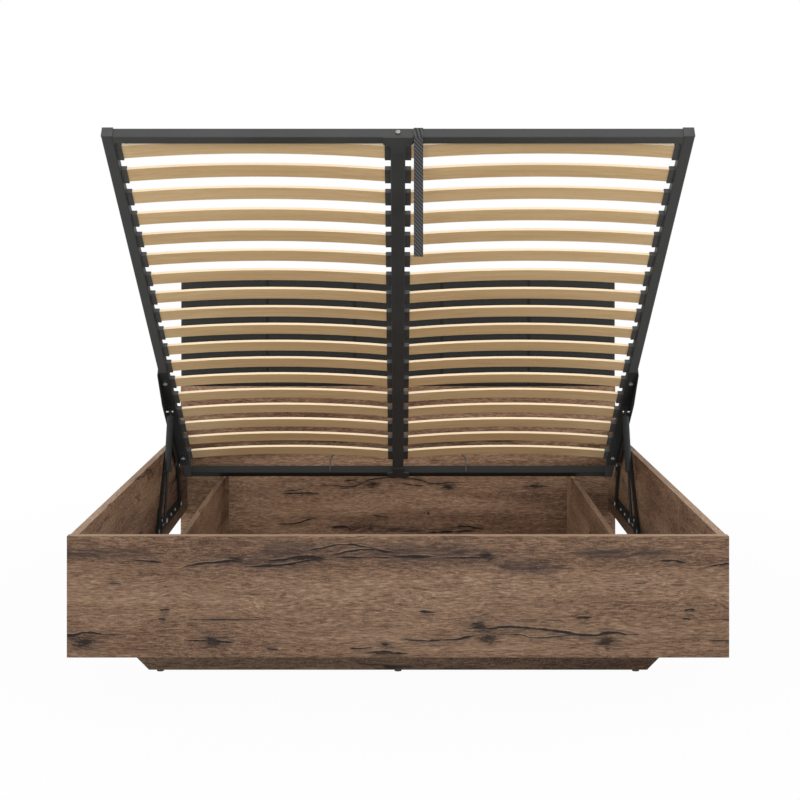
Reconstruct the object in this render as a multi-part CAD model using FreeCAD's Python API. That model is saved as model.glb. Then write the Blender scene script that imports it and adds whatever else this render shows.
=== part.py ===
import FreeCAD, Part
import os
from math import atan2, cos, degrees, hypot, radians, sin, tan
from FreeCAD import Vector

# An ottoman bed for a 1600 x 2000 mattress, shown with its slatted lid lifted.
# Millimetres, +Z up. The foot end points to -Y and the headboard to +Y.
# The origin is on the floor under the middle of the bed.

# Bed box
bed_width = 1660.0
inner_length = 2010.0
rail_bottom = 105.0
rail_height = 305.0
rail_thickness = 22.0
rail_inset = 4.0
footboard_thickness = 25.0
board_round = 1.5

# Headboard
headboard_height = 1000.0
headboard_thickness = 28.0
wood_part_height = 569.0
pad_board_thickness = 14.0
pad_depth = 15.0
pad_channels = 5
channel_crown = 3.5
pad_round = 9.0
pad_round_steps = 4
pad_seat_gap = 0.3
joiner_count = 3
joiner_width = 60.0
joiner_height = 160.0
joiner_thickness = 3.0
headboard_bolt_radius = 4.0
headboard_bolt_head_radius = 8.0
headboard_bolt_head_height = 4.0
headboard_bolt_reach = 40.0
headboard_bolt_shares = (0.25, 0.75)

# Storage box and plinth
glide_height = 5.0
glide_radius = 9.5
glide_shares = (-1, 0, 1)
glide_edge_distance = 29.0
floor_glide_shares = (0.05, 0.45, 0.55, 0.95)
side_bay_width = 141.0
divider_thickness = 18.0
divider_height = 244.0
floor_thickness = 4.0
floor_side_gap = 1.0
floor_joint_gap = 2.0
plinth_thickness = 22.0
plinth_end_slope = 45.0
plinth_front_recess = 244.0
toe_shelf_thickness = 16.0

# Support strip for the closed lid
batten_end_gap = 161.0
batten_depth = 30.0
batten_height = 40.0
bumper_radius = 9.0
bumper_height = 8.0
bumper_end_distance = 180.0
bumper_gap = 0.3

# Angle brackets and screws
corner_leg_length = 40.0
corner_plate_thickness = 3.0
rail_bracket_height = 100.0
rail_bracket_bottom = 205.0
divider_bracket_height = 60.0
divider_bracket_bottom = 135.0
screw_head_radius = 5.0
screw_head_height = 2.5
bracket_screw_shares = (0.25, 0.75)

# Lid frame
tube_size = 30.0
tube_wall = 2.0
tube_corner = 3.0
cap_thickness = 3.0
lid_head_gap = 18.0
lid_foot_gap = 7.0
lid_recess = 37.0
crossbar_setback = 0.5
beam_width = 40.0
beam_bracket_width = 81.0
beam_bracket_length = 70.0
beam_bracket_thickness = 3.0
beam_bracket_round = 8.0
crossbar_bolt_radius = 6.25
crossbar_bolt_height = 4.0

# Slats and their holders
slat_rows = 18
slat_width = 53.0
slat_thickness = 8.0
slat_bow = 18.0
slat_head_margin = 155.0
slat_foot_margin = 84.0
holder_width = 60.0
holder_height = 14.0
holder_length = 16.0
holder_end_wall = 3.0
holder_clearance = 0.3

# Wire stop that keeps the mattress on the tilted lid
stop_half_width = 250.0
stop_height = 84.0
stop_wire_radius = 2.5
stop_bend_radius = 40.0
stop_foot_height = 3.0

# Pull strap
strap_width = 25.0
strap_thickness = 2.0
strap_length = 318.0
strap_offset = 54.5
strap_clearance = 0.3

# Open pose of the lid: its tilt in degrees and the way of its rear lower edge from the closed pose
lid_tilt = 36.0
lid_rear_travel = 172.0
lid_rear_drop = 84.0

# Lift linkage: places along the lid from its head end, and heights
rear_pivot_along = 137.0
front_pivot_along = 386.0
gas_pivot_along = 528.0
lid_pivot_drop = 20.0
base_pivot_height = 170.0
gas_base_rise = 37.0
base_plate_thickness = 3.0
base_plate_half_height = 20.0
layer_gap = 0.5
link_thickness = 5.0
link_half_width = 15.0
pin_radius = 6.0
pin_head_radius = 8.0
pin_head_height = 2.5
pin_clearance = 0.05
seat_clearance = 0.02
open_pivot_gap = 0.3
base_bolt_count = 4
base_bolt_radius = 5.5
base_bolt_height = 3.5
base_bolt_edge = 120.0

# Lift arms under the side tubes
arm_thickness = 4.0
arm_head_along = 100.0
arm_foot_along = 750.0
arm_taper_along = 600.0
arm_drop = 38.0
arm_tip_drop = 9.0
arm_corner = 22.0
arm_rise = 15.0
arm_flange_thickness = 3.0
arm_bolt_radius = 7.0
arm_bolt_height = 5.0
arm_bolt_inset = 60.0

# Gas springs
gas_barrel_radius = 11.0
gas_barrel_wall = 1.5
gas_barrel_end = 8.0
gas_barrel_start = 16.0
gas_gland_length = 12.0
gas_closed_margin = 38.0
gas_rod_radius = 4.5
gas_rod_clearance = 0.1
gas_piston_length = 8.0
gas_piston_margin = 6.0
gas_piston_clearance = 0.3
gas_neck_radius = 5.0
gas_eye_radius = 10.0
gas_eye_width = 12.0
gas_pin_radius = 5.0
gas_pin_head_radius = 6.5
gas_pin_head_height = 3.0
gas_ear_radius = 14.0
gas_ear_thickness = 4.0
gas_ear_gap = 3.0

cut_overrun = 1.0

X_AXIS = Vector(1, 0, 0)
Y_AXIS = Vector(0, 1, 0)
Z_AXIS = Vector(0, 0, 1)
ORIGIN = Vector(0, 0, 0)

# Planes of the bed box. Names that start with y_ are places in the finished frame.
half_width = bed_width / 2
bed_length = footboard_thickness + inner_length + headboard_thickness
y_front = -bed_length / 2
y_footboard_back = y_front + footboard_thickness
y_headboard_front = y_footboard_back + inner_length
y_back = y_headboard_front + headboard_thickness
rail_top = rail_bottom + rail_height
rail_outer = half_width - rail_inset
rail_inner = rail_outer - rail_thickness
divider_outer_half = rail_inner - side_bay_width
divider_inner_half = divider_outer_half - divider_thickness
plinth_bottom_half = divider_outer_half
divider_bottom = glide_height
headboard_bottom = glide_height
wood_part_top = headboard_bottom + wood_part_height
plinth_height = rail_bottom - glide_height
y_plinth_front = y_front + plinth_front_recess
y_floor_front = y_plinth_front + plinth_thickness

# Side layers of the lift linkage, from the rail inwards. All are distances from the middle plane.
plate_face = rail_inner - base_plate_thickness
link_outer = plate_face - layer_gap
link_inner = link_outer - link_thickness
arm_outer = link_inner - layer_gap
arm_inner = arm_outer - arm_thickness
tube_outer = arm_inner
tube_inner = tube_outer - tube_size
tube_middle = (tube_outer + tube_inner) / 2
gas_middle = tube_middle
ear_outer = gas_middle + gas_eye_width / 2 + gas_ear_gap + gas_ear_thickness
ear_inner = ear_outer - gas_ear_thickness

# Lid in its own flat frame: Y runs from its head end (0) to its foot end (negative), Z from its underside.
lid_length = inner_length - lid_head_gap - lid_foot_gap
lid_closed_z = rail_top - lid_recess - tube_size
lid_closed_y = y_headboard_front - lid_head_gap
lid_open_y = lid_closed_y - lid_rear_travel
lid_open_z = lid_closed_z - lid_rear_drop
tilt = radians(lid_tilt)
crossbar_half = tube_inner
head_bar_far = cap_thickness + crossbar_setback + tube_size
foot_bar_far = lid_length - cap_thickness - crossbar_setback
foot_bar_near = foot_bar_far - tube_size
beam_half = beam_width / 2
batten_top = lid_closed_z - bumper_gap - bumper_height
batten_half_length = crossbar_half - batten_end_gap
bumper_half_spacing = batten_half_length - bumper_end_distance
holder_middle = tube_size / 2
slat_span = tube_inner - beam_half - 2 * holder_end_wall
slat_end_rise = 4 * slat_bow * (holder_length - holder_end_wall) / slat_span
strap_skin = strap_clearance + strap_thickness


def open_point(along, height):
    """Place in the finished frame (y, z) of a lid point, with the lid lifted."""
    y = lid_open_y - along * cos(tilt) + height * sin(tilt)
    z = lid_open_z + along * sin(tilt) + height * cos(tilt)
    return (y, z)


def closed_point(along, height):
    """Place in the finished frame (y, z) of a lid point, with the lid shut."""
    return (lid_closed_y - along, lid_closed_z + height)


def base_pivot(along):
    """Fixed pivot (y, z), equally far from the open and the shut place of a lid pivot."""
    opened = open_point(along, -lid_pivot_drop)
    shut = closed_point(along, -lid_pivot_drop)
    middle_y = (opened[0] + shut[0]) / 2
    middle_z = (opened[1] + shut[1]) / 2
    slope = (shut[1] - opened[1]) / (shut[0] - opened[0])
    return (middle_y - (base_pivot_height - middle_z) * slope, base_pivot_height)


def distance(start, end):
    return hypot(end[0] - start[0], end[1] - start[1])


def turn(centre, start, end):
    """Angle in degrees about +X by which a point turns round a centre from start to end."""
    first = atan2(start[1] - centre[1], start[0] - centre[0])
    last = atan2(end[1] - centre[1], end[0] - centre[0])
    return degrees(last - first)


front_lid_pivot = open_point(front_pivot_along, -lid_pivot_drop)
rear_lid_pivot = open_point(rear_pivot_along, -lid_pivot_drop)
gas_lid_pivot = open_point(gas_pivot_along, -lid_pivot_drop)
front_base_pivot = base_pivot(front_pivot_along)
rear_base_pivot = base_pivot(rear_pivot_along)
gas_base_pivot = (front_base_pivot[0], front_base_pivot[1] + gas_base_rise)
front_turn = turn(front_base_pivot, front_lid_pivot, closed_point(front_pivot_along, -lid_pivot_drop))
rear_turn = turn(rear_base_pivot, rear_lid_pivot, closed_point(rear_pivot_along, -lid_pivot_drop))
gas_turn = turn(gas_base_pivot, gas_lid_pivot, closed_point(gas_pivot_along, -lid_pivot_drop))
gas_open_length = distance(gas_base_pivot, gas_lid_pivot)
gas_closed_length = distance(gas_base_pivot, closed_point(gas_pivot_along, -lid_pivot_drop))
gas_stroke = gas_open_length - gas_closed_length
gas_barrel_far = gas_closed_length - gas_closed_margin
strap_hang = open_point(foot_bar_far + strap_skin + open_pivot_gap, -strap_skin - open_pivot_gap)


def box(x0, x1, y0, y1, z0, z1):
    return Part.makeBox(x1 - x0, y1 - y0, z1 - z0, Vector(x0, y0, z0))


def board(x0, x1, y0, y1, z0, z1):
    """A panel with its edges slightly rounded."""
    panel = box(x0, x1, y0, y1, z0, z1)
    return panel.makeFillet(board_round, panel.Edges)


def rod_x(radius, x0, x1, point):
    """A round bar along X from x0 to x1 through the point (y, z)."""
    return Part.makeCylinder(radius, x1 - x0, Vector(x0, point[0], point[1]), X_AXIS)


def group(shapes):
    return Part.makeCompound(shapes)


def mirrored(shape):
    return shape.mirror(ORIGIN, X_AXIS)


def both_sides(shapes):
    return group(shapes + [mirrored(shape) for shape in shapes])


def joined(shapes):
    return shapes[0].fuse(shapes[1:]).removeSplitter()


def lifted(shape):
    """Moves a shape from the lid's flat frame to the open pose."""
    placed = shape.copy()
    placed.rotate(ORIGIN, X_AXIS, -lid_tilt)
    placed.translate(Vector(0, lid_open_y, lid_open_z))
    return placed


def lid_box(x0, x1, near, far, z0, z1):
    """A box in the lid's flat frame, from near to far along the lid from its head end."""
    return box(x0, x1, -far, -near, z0, z1)


def stadium(start, end, radius, x0, x1):
    """A flat bar with round ends between two points (y, z), from x0 to x1."""
    length = distance(start, end)
    along = ((end[0] - start[0]) / length, (end[1] - start[1]) / length)
    side = (-along[1], along[0])

    def corner(point, forward, sideways):
        y = point[0] + radius * (forward * along[0] + sideways * side[0])
        z = point[1] + radius * (forward * along[1] + sideways * side[1])
        return Vector(x0, y, z)

    edges = [
        Part.LineSegment(corner(start, 0, 1), corner(end, 0, 1)).toShape(),
        Part.Arc(corner(end, 0, 1), corner(end, 1, 0), corner(end, 0, -1)).toShape(),
        Part.LineSegment(corner(end, 0, -1), corner(start, 0, -1)).toShape(),
        Part.Arc(corner(start, 0, -1), corner(start, -1, 0), corner(start, 0, 1)).toShape(),
    ]
    return Part.Face(Part.Wire(edges)).extrude(Vector(x1 - x0, 0, 0))


def polygon_prism(points, sweep):
    return Part.Face(Part.makePolygon(points + points[:1])).extrude(sweep)


def square_tube(width, height, length):
    """A hollow tube along +Y with rounded long edges, its section centred on X and standing on Z = 0."""
    outer = box(-width / 2, width / 2, 0, length, 0, height)
    long_edges = [edge for edge in outer.Edges if edge.BoundBox.YLength > length / 2]
    outer = outer.makeFillet(tube_corner, long_edges)
    bore = box(
        tube_wall - width / 2, width / 2 - tube_wall,
        -cut_overrun, length + cut_overrun,
        tube_wall, height - tube_wall,
    )
    return outer.cut(bore)


def footboard():
    return board(-half_width, half_width, y_front, y_footboard_back, rail_bottom, rail_top)


def left_side_rail():
    rail = board(-rail_outer, -rail_inner, y_footboard_back, y_headboard_front, rail_bottom, rail_top)
    return rail.cut(headboard_bolts())


def headboard_panel():
    panel = board(-half_width, half_width, y_headboard_front, y_back, headboard_bottom, wood_part_top)
    return panel.cut(headboard_joiners()).cut(headboard_bolts())


def headboard_pad_board():
    y_board = y_back - pad_board_thickness
    backing = board(-half_width, half_width, y_board, y_back, wood_part_top, headboard_height)
    return backing.cut(headboard_joiners())


def pad_section(z, draw_in):
    """One level section of the pad: a flat back and one shallow arc per channel in front."""
    y_pad_back = y_back - pad_board_thickness - pad_seat_gap
    y_pad_seam = y_pad_back - pad_depth + channel_crown + draw_in
    half = half_width - draw_in
    step = 2 * half / pad_channels
    edges = []
    for channel in range(pad_channels):
        start = Vector(-half + channel * step, y_pad_seam, z)
        crown = Vector(start.x + step / 2, y_pad_seam - channel_crown, z)
        end = Vector(start.x + step, y_pad_seam, z)
        edges.append(Part.Arc(start, crown, end).toShape())
    back_right = Vector(half, y_pad_back, z)
    back_left = Vector(-half, y_pad_back, z)
    edges.append(Part.LineSegment(Vector(half, y_pad_seam, z), back_right).toShape())
    edges.append(Part.LineSegment(back_right, back_left).toShape())
    edges.append(Part.LineSegment(back_left, Vector(-half, y_pad_seam, z)).toShape())
    return Part.Wire(edges)


def headboard_pad():
    """Upholstered panel with upright channels, drawn in round its top and bottom edges."""
    low = wood_part_top + pad_seat_gap
    sections = []
    for step in range(pad_round_steps + 1):
        angle = radians(90) * step / pad_round_steps
        rise = pad_round * (1 - cos(angle))
        draw_in = pad_round * (1 - sin(angle))
        sections.append((low + rise, draw_in))
    for z, draw_in in sections[::-1]:
        sections.append((low + headboard_height - z, draw_in))
    return Part.makeLoft([pad_section(z, draw_in) for z, draw_in in sections], True, True)


def headboard_joiners():
    """Steel plates let in flush behind the headboard, which hold its upper part to its lower part."""
    plates = []
    low = wood_part_top - joiner_height / 2
    for index in range(joiner_count):
        x = bed_width * ((index + 1) / (joiner_count + 1) - 1 / 2)
        plate = box(x - joiner_width / 2, x + joiner_width / 2, y_back - joiner_thickness, y_back,
                    low, low + joiner_height)
        plates.append(plate)
    return group(plates)


def headboard_bolts():
    """Bolts let into the headboard's back, which run into the ends of the rails and the dividers."""
    rail_middle = (rail_outer + rail_inner) / 2
    divider_middle = (divider_outer_half + divider_inner_half) / 2
    places = []
    for share in headboard_bolt_shares:
        places.append((-rail_middle, rail_bottom + rail_height * share))
        places.append((-divider_middle, divider_bottom + divider_height * share))
    y_head = y_back - headboard_bolt_head_height
    y_tip = y_headboard_front - headboard_bolt_reach
    bolts = []
    for x, z in places:
        seat = Vector(x, y_head, z)
        head = Part.makeCylinder(headboard_bolt_head_radius, headboard_bolt_head_height, seat, Y_AXIS)
        shank = Part.makeCylinder(headboard_bolt_radius, y_head - y_tip, seat, -Y_AXIS)
        bolts.append(joined([head, shank]))
    return both_sides(bolts)


def left_divider():
    """Side wall of the storage box, stepped up at its foot end over the set-back plinth."""
    x0 = -divider_outer_half
    divider_top = divider_bottom + divider_height
    points = [
        Vector(x0, y_footboard_back, rail_bottom),
        Vector(x0, y_floor_front, rail_bottom),
        Vector(x0, y_floor_front, divider_bottom),
        Vector(x0, y_headboard_front, divider_bottom),
        Vector(x0, y_headboard_front, divider_top),
        Vector(x0, y_footboard_back, divider_top),
    ]
    wall = polygon_prism(points, Vector(divider_thickness, 0, 0))
    return wall.makeFillet(board_round, wall.Edges).cut(headboard_bolts())


def storage_floor(y0, y1):
    half = divider_inner_half - floor_side_gap
    return box(-half, half, y0, y1, divider_bottom, divider_bottom + floor_thickness)


def front_storage_floor():
    y_joint = (y_floor_front + y_headboard_front) / 2
    return storage_floor(y_floor_front, y_joint - floor_joint_gap / 2)


def rear_storage_floor():
    y_joint = (y_floor_front + y_headboard_front) / 2
    return storage_floor(y_joint + floor_joint_gap / 2, y_headboard_front)


def toe_shelf():
    """Raised board of the storage floor, from the footboard to the set-back plinth."""
    half = divider_inner_half - floor_side_gap
    return box(-half, half, y_footboard_back, y_floor_front, rail_bottom, rail_bottom + toe_shelf_thickness)


def plinth_front_board():
    """A board across the bed with both ends cut at a slope, wider at its top."""
    top_half = plinth_bottom_half + plinth_height / tan(radians(plinth_end_slope))
    points = [
        Vector(-plinth_bottom_half, y_plinth_front, glide_height),
        Vector(plinth_bottom_half, y_plinth_front, glide_height),
        Vector(top_half, y_plinth_front, rail_bottom),
        Vector(-top_half, y_plinth_front, rail_bottom),
    ]
    return polygon_prism(points, Vector(0, plinth_thickness, 0))


def glide_feet():
    """Round glides under the plinth board, the storage floor and the headboard."""
    feet = []
    span = plinth_bottom_half - glide_edge_distance
    rows = [y_plinth_front + plinth_thickness / 2]
    rows += [y_floor_front + (y_headboard_front - y_floor_front) * share for share in floor_glide_shares]
    places = [(y, x_share) for y in rows for x_share in glide_shares]
    places += [(y_back - headboard_thickness / 2, x_share) for x_share in glide_shares[::2]]
    for y, x_share in places:
        feet.append(Part.makeCylinder(glide_radius, glide_height, Vector(span * x_share, y, 0)))
    return group(feet)


def footboard_batten():
    return box(-batten_half_length, batten_half_length, y_footboard_back, y_footboard_back + batten_depth,
               batten_top - batten_height, batten_top)


def batten_bumpers():
    y = y_footboard_back + batten_depth - bumper_radius
    bumper = Part.makeCylinder(bumper_radius, bumper_height, Vector(-bumper_half_spacing, y, batten_top))
    return both_sides([bumper])


def angle_bracket(x, y, toward_x, toward_y, low, height):
    """An angle in the corner at (x, y); its legs run towards the given signs of X and Y."""
    x_leg = x + toward_x * corner_leg_length
    x_skin = x + toward_x * corner_plate_thickness
    y_leg = y + toward_y * corner_leg_length
    y_skin = y + toward_y * corner_plate_thickness
    along_y = box(min(x, x_skin), max(x, x_skin), min(y, y_leg), max(y, y_leg), low, low + height)
    along_x = box(min(x, x_leg), max(x, x_leg), min(y, y_skin), max(y, y_skin), low, low + height)
    return joined([along_y, along_x])


def bracket_screw_heads(x, y, toward_x, toward_y, low, height):
    """Two screw heads on each leg of an angle bracket."""
    heads = []
    for height_share in bracket_screw_shares:
        z = low + height * height_share
        on_x_leg = Vector(x + toward_x * corner_leg_length / 2, y + toward_y * corner_plate_thickness, z)
        on_y_leg = Vector(x + toward_x * corner_plate_thickness, y + toward_y * corner_leg_length / 2, z)
        heads.append(Part.makeCylinder(screw_head_radius, screw_head_height, on_x_leg, Y_AXIS * toward_y))
        heads.append(Part.makeCylinder(screw_head_radius, screw_head_height, on_y_leg, X_AXIS * toward_x))
    return heads


def bracket_places():
    """Left corners at the footboard that take an angle: the rail's inner and the divider's outer side."""
    return [
        (-rail_inner, y_footboard_back, 1, 1, rail_bracket_bottom, rail_bracket_height),
        (-divider_outer_half, y_footboard_back, -1, 1, divider_bracket_bottom, divider_bracket_height),
    ]


def corner_brackets():
    return both_sides([angle_bracket(*place) for place in bracket_places()])


def corner_bracket_screws():
    heads = []
    for place in bracket_places():
        heads += bracket_screw_heads(*place)
    return both_sides(heads)


def left_base_plate():
    """Flat bar on the rail that carries the fixed pivots, with an ear for the gas spring."""
    bar = stadium(front_base_pivot, rear_base_pivot, base_plate_half_height, -rail_inner, -plate_face)
    low = base_pivot_height - base_plate_half_height
    y_ear = gas_base_pivot[0]
    y0 = y_ear - gas_ear_radius
    y1 = y_ear + gas_ear_radius
    web = box(-rail_inner, -ear_inner, y0, y1, low, low + gas_ear_thickness)
    ear = box(-ear_outer, -ear_inner, y_ear - gas_ear_radius, y_ear + gas_ear_radius, low, gas_base_pivot[1])
    ear_top = rod_x(gas_ear_radius, -ear_outer, -ear_inner, gas_base_pivot)
    plate = joined([bar, web, ear, ear_top])
    for pivot in (front_base_pivot, rear_base_pivot):
        seat = rod_x(pin_radius + seat_clearance, -rail_inner - cut_overrun, -plate_face + cut_overrun, pivot)
        plate = plate.cut(seat)
    return plate


def base_plate_bolts():
    """Round bolt heads that hold the base plates to the rails, between the two fixed pivots."""
    bolts = []
    first = front_base_pivot[0] + base_bolt_edge
    step = (rear_base_pivot[0] - base_bolt_edge - first) / (base_bolt_count - 1)
    for index in range(base_bolt_count):
        place = (first + index * step, base_pivot_height)
        bolts.append(rod_x(base_bolt_radius, -plate_face, -plate_face + base_bolt_height, place))
    return both_sides(bolts)


def base_pivot_pins():
    """Headed pins on the base plates that the four links turn on."""
    pins = []
    for pivot in (front_base_pivot, rear_base_pivot):
        shank = rod_x(pin_radius, -rail_inner, -link_inner + pin_head_height, pivot)
        head_start = -link_inner + layer_gap / 2
        head = rod_x(pin_head_radius, head_start, head_start + pin_head_height, pivot)
        pins.append(joined([shank, head]))
    return both_sides(pins)


def gas_base_pins():
    """Pins on the ears of the base plates that carry the rod eyes of the gas springs."""
    eye_inner = gas_middle - gas_eye_width / 2 - layer_gap
    shank = rod_x(gas_pin_radius, -ear_inner, -eye_inner, gas_base_pivot)
    head = rod_x(gas_pin_head_radius, -eye_inner, -eye_inner + gas_pin_head_height, gas_base_pivot)
    return both_sides([joined([shank, head])])


def left_side_tube():
    tube = square_tube(tube_size, tube_size, lid_length - 2 * cap_thickness)
    tube.translate(Vector(-tube_middle, cap_thickness - lid_length, 0))
    return lifted(tube)


def cross_tube(far):
    """A tube across the lid whose far side lies at the given distance from the head end."""
    tube = square_tube(tube_size, tube_size, 2 * crossbar_half)
    tube.rotate(ORIGIN, Z_AXIS, -90)
    tube.translate(Vector(-crossbar_half, tube_size / 2 - far, 0))
    return lifted(tube)


def foot_crossbar():
    return cross_tube(foot_bar_far)


def head_crossbar():
    return cross_tube(head_bar_far)


def centre_beam():
    beam = square_tube(beam_width, tube_size, foot_bar_near - head_bar_far)
    beam.translate(Vector(0, -foot_bar_near, 0))
    return lifted(beam)


def beam_bracket(bar_edge, toward_foot):
    """A flared plate under a crossbar and the end of the centre beam, wide at the crossbar."""
    wide = beam_bracket_width / 2
    bar_side = bar_edge + toward_foot * tube_size
    flare_end = bar_edge - toward_foot * beam_bracket_round
    tongue_end = bar_side - toward_foot * beam_bracket_length
    points = [
        Vector(-wide, -bar_side, 0),
        Vector(wide, -bar_side, 0),
        Vector(wide, -bar_edge, 0),
        Vector(beam_half, -flare_end, 0),
        Vector(beam_half, -tongue_end, 0),
        Vector(-beam_half, -tongue_end, 0),
        Vector(-beam_half, -flare_end, 0),
        Vector(-wide, -bar_edge, 0),
    ]
    plate = polygon_prism(points, Vector(0, 0, -beam_bracket_thickness))
    upright = [edge for edge in plate.Edges if edge.BoundBox.ZLength > beam_bracket_thickness / 2]
    outer = [edge for edge in upright if abs(edge.CenterOfMass.x) > (wide + beam_half) / 2]
    return lifted(plate.makeFillet(beam_bracket_round, outer))


def foot_beam_bracket():
    return beam_bracket(foot_bar_near, 1)


def head_beam_bracket():
    return beam_bracket(head_bar_far, -1)


def corner_caps():
    """Plastic caps on the four open ends of the side tubes."""
    caps = []
    for near in (0, lid_length - cap_thickness):
        caps.append(lid_box(-tube_outer, -tube_inner, near, near + cap_thickness, 0, tube_size))
    return lifted(both_sides(caps))


def crossbar_bolt():
    """Bolt head on the outer face of the foot crossbar, into the centre beam."""
    place = Vector(0, -foot_bar_far, tube_size / 2)
    return lifted(Part.makeCylinder(crossbar_bolt_radius, crossbar_bolt_height, place, -Y_AXIS))


def slat_rows_along():
    """Distances of the slat rows' middles from the head end of the lid."""
    step = (lid_length - slat_foot_margin - slat_head_margin) / (slat_rows - 1)
    return [slat_head_margin + row * step for row in range(slat_rows)]


def slat_section_arc(x0, x1, z, flip):
    """A shallow arc from x0 to x1 that rises by the slat's bow, or the same arc run backwards."""
    start = Vector(x0, 0, z)
    crown = Vector((x0 + x1) / 2, 0, z + slat_bow)
    end = Vector(x1, 0, z)
    ends = (end, start) if flip else (start, end)
    return Part.Arc(ends[0], crown, ends[1]).toShape()


def slat():
    """One sprung slat of the left column, its width along Y and its low faces at the holders."""
    low = holder_middle - slat_thickness / 2
    high = low + slat_thickness
    x0 = -tube_inner + holder_end_wall
    x1 = -beam_half - holder_end_wall
    edges = [
        slat_section_arc(x0, x1, low, False),
        Part.LineSegment(Vector(x1, 0, low), Vector(x1, 0, high)).toShape(),
        slat_section_arc(x0, x1, high, True),
        Part.LineSegment(Vector(x0, 0, high), Vector(x0, 0, low)).toShape(),
    ]
    return Part.Face(Part.Wire(edges)).extrude(Vector(0, slat_width, 0))


def row_copies(shape, width):
    """Copies of a shape that starts at Y = 0 and is width long, centred on each slat row."""
    copies = []
    for along in slat_rows_along():
        copy = shape.copy()
        copy.translate(Vector(0, -along - width / 2, 0))
        copies.append(copy)
    return copies


def left_slats():
    return lifted(group(row_copies(slat(), slat_width)))


def holder(x_wall, toward_x):
    """A plastic sleeve on a tube's side face at x_wall, open towards the slat."""
    x_open = x_wall + toward_x * holder_length
    x_end = x_wall + toward_x * holder_end_wall
    low = holder_middle - holder_height / 2
    body = box(min(x_wall, x_open), max(x_wall, x_open), 0, holder_width, low, low + holder_height)
    margin = (holder_width - slat_width) / 2 - holder_clearance
    reach = x_open + toward_x * cut_overrun
    pocket_low = holder_middle - slat_thickness / 2 - holder_clearance
    pocket_high = holder_middle + slat_thickness / 2 + slat_end_rise + holder_clearance
    pocket = box(min(x_end, reach), max(x_end, reach), margin, holder_width - margin, pocket_low, pocket_high)
    return body.cut(pocket)


def left_slat_holders():
    return lifted(group(row_copies(holder(-tube_inner, 1), holder_width)))


def centre_slat_holders():
    return lifted(both_sides(row_copies(holder(-beam_half, -1), holder_width)))


def mattress_stop():
    """A bent wire hoop on the head crossbar that holds the mattress back."""
    y = -head_bar_far - stop_wire_radius
    shoulder = stop_height - stop_bend_radius
    inset = stop_half_width - stop_bend_radius
    bend = stop_bend_radius * sin(radians(45))

    def point(x, z):
        return Vector(x, y, z)

    left_foot = point(-stop_half_width, stop_foot_height)
    right_foot = point(stop_half_width, stop_foot_height)
    edges = [
        Part.LineSegment(left_foot, point(-stop_half_width, shoulder)).toShape(),
        Part.Arc(point(-stop_half_width, shoulder), point(-inset - bend, shoulder + bend),
                 point(-inset, stop_height)).toShape(),
        Part.LineSegment(point(-inset, stop_height), point(inset, stop_height)).toShape(),
        Part.Arc(point(inset, stop_height), point(inset + bend, shoulder + bend),
                 point(stop_half_width, shoulder)).toShape(),
        Part.LineSegment(point(stop_half_width, shoulder), right_foot).toShape(),
    ]
    section = Part.Wire(Part.makeCircle(stop_wire_radius, left_foot, Z_AXIS))
    return lifted(Part.Wire(edges).makePipeShell([section], True, False))


def strap_wrap():
    """Webbing wound once round the foot crossbar."""
    x0 = strap_offset - strap_width / 2
    x1 = strap_offset + strap_width / 2
    gap = strap_clearance
    skin = strap_skin
    inner = lid_box(
        x0 - cut_overrun, x1 + cut_overrun,
        foot_bar_near - gap, foot_bar_far + gap,
        -gap, tube_size + gap,
    )
    outer = lid_box(x0, x1, foot_bar_near - skin, foot_bar_far + skin, -skin, tube_size + skin)
    return lifted(outer.cut(inner))


def strap_tail():
    """Free end of the strap, hanging straight down from the lower outer edge of the foot crossbar."""
    x0 = strap_offset - strap_width / 2
    y1 = strap_hang[0]
    z1 = strap_hang[1]
    return box(x0, x0 + strap_width, y1 - strap_thickness, y1, z1 - strap_length, z1)


def left_lift_arm():
    """Angle-shaped arm under the side tube that carries the upper pivots of the linkage."""
    outline = [
        (arm_head_along, arm_rise),
        (arm_foot_along, arm_rise),
        (arm_foot_along, -arm_tip_drop),
        (arm_taper_along, -arm_drop),
        (arm_head_along + arm_corner, -arm_drop),
        (arm_head_along, arm_corner - arm_drop),
    ]
    points = [Vector(-arm_outer, -along, height) for along, height in outline]
    leg = polygon_prism(points, Vector(arm_thickness, 0, 0))
    flange = lid_box(-arm_outer, -tube_inner, arm_head_along, arm_foot_along, -arm_flange_thickness, 0)
    arm = joined([leg, flange])
    for along in (front_pivot_along, rear_pivot_along):
        pivot = (-along, -lid_pivot_drop)
        hole = rod_x(pin_radius + seat_clearance, -arm_outer - cut_overrun, -arm_inner + cut_overrun, pivot)
        arm = arm.cut(hole)
    return lifted(arm)


def lift_arm_bolts():
    """Bolt heads that hold the lift arms to the side tubes."""
    bolts = []
    for along in (arm_head_along + arm_bolt_inset, arm_foot_along - arm_bolt_inset):
        place = Vector(-tube_middle, -along, -arm_flange_thickness - arm_bolt_height)
        bolts.append(Part.makeCylinder(arm_bolt_radius, arm_bolt_height, place))
    return lifted(both_sides(bolts))


def lid_pivot_pins():
    """Rivets of the lift arms: the front one carries its link, the rear one ends just short of its link."""
    front = (-front_pivot_along, -lid_pivot_drop)
    rear = (-rear_pivot_along, -lid_pivot_drop)
    inner_end = -arm_inner + pin_head_height
    outer_head = -link_outer - layer_gap / 2
    carrier = joined([
        rod_x(pin_radius, outer_head - pin_head_height, inner_end, front),
        rod_x(pin_head_radius, -arm_inner, inner_end, front),
        rod_x(pin_head_radius, outer_head - pin_head_height, outer_head, front),
    ])
    stub = joined([
        rod_x(pin_radius, -link_inner + open_pivot_gap, inner_end, rear),
        rod_x(pin_head_radius, -arm_inner, inner_end, rear),
    ])
    return lifted(both_sides([carrier, stub]))


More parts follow.
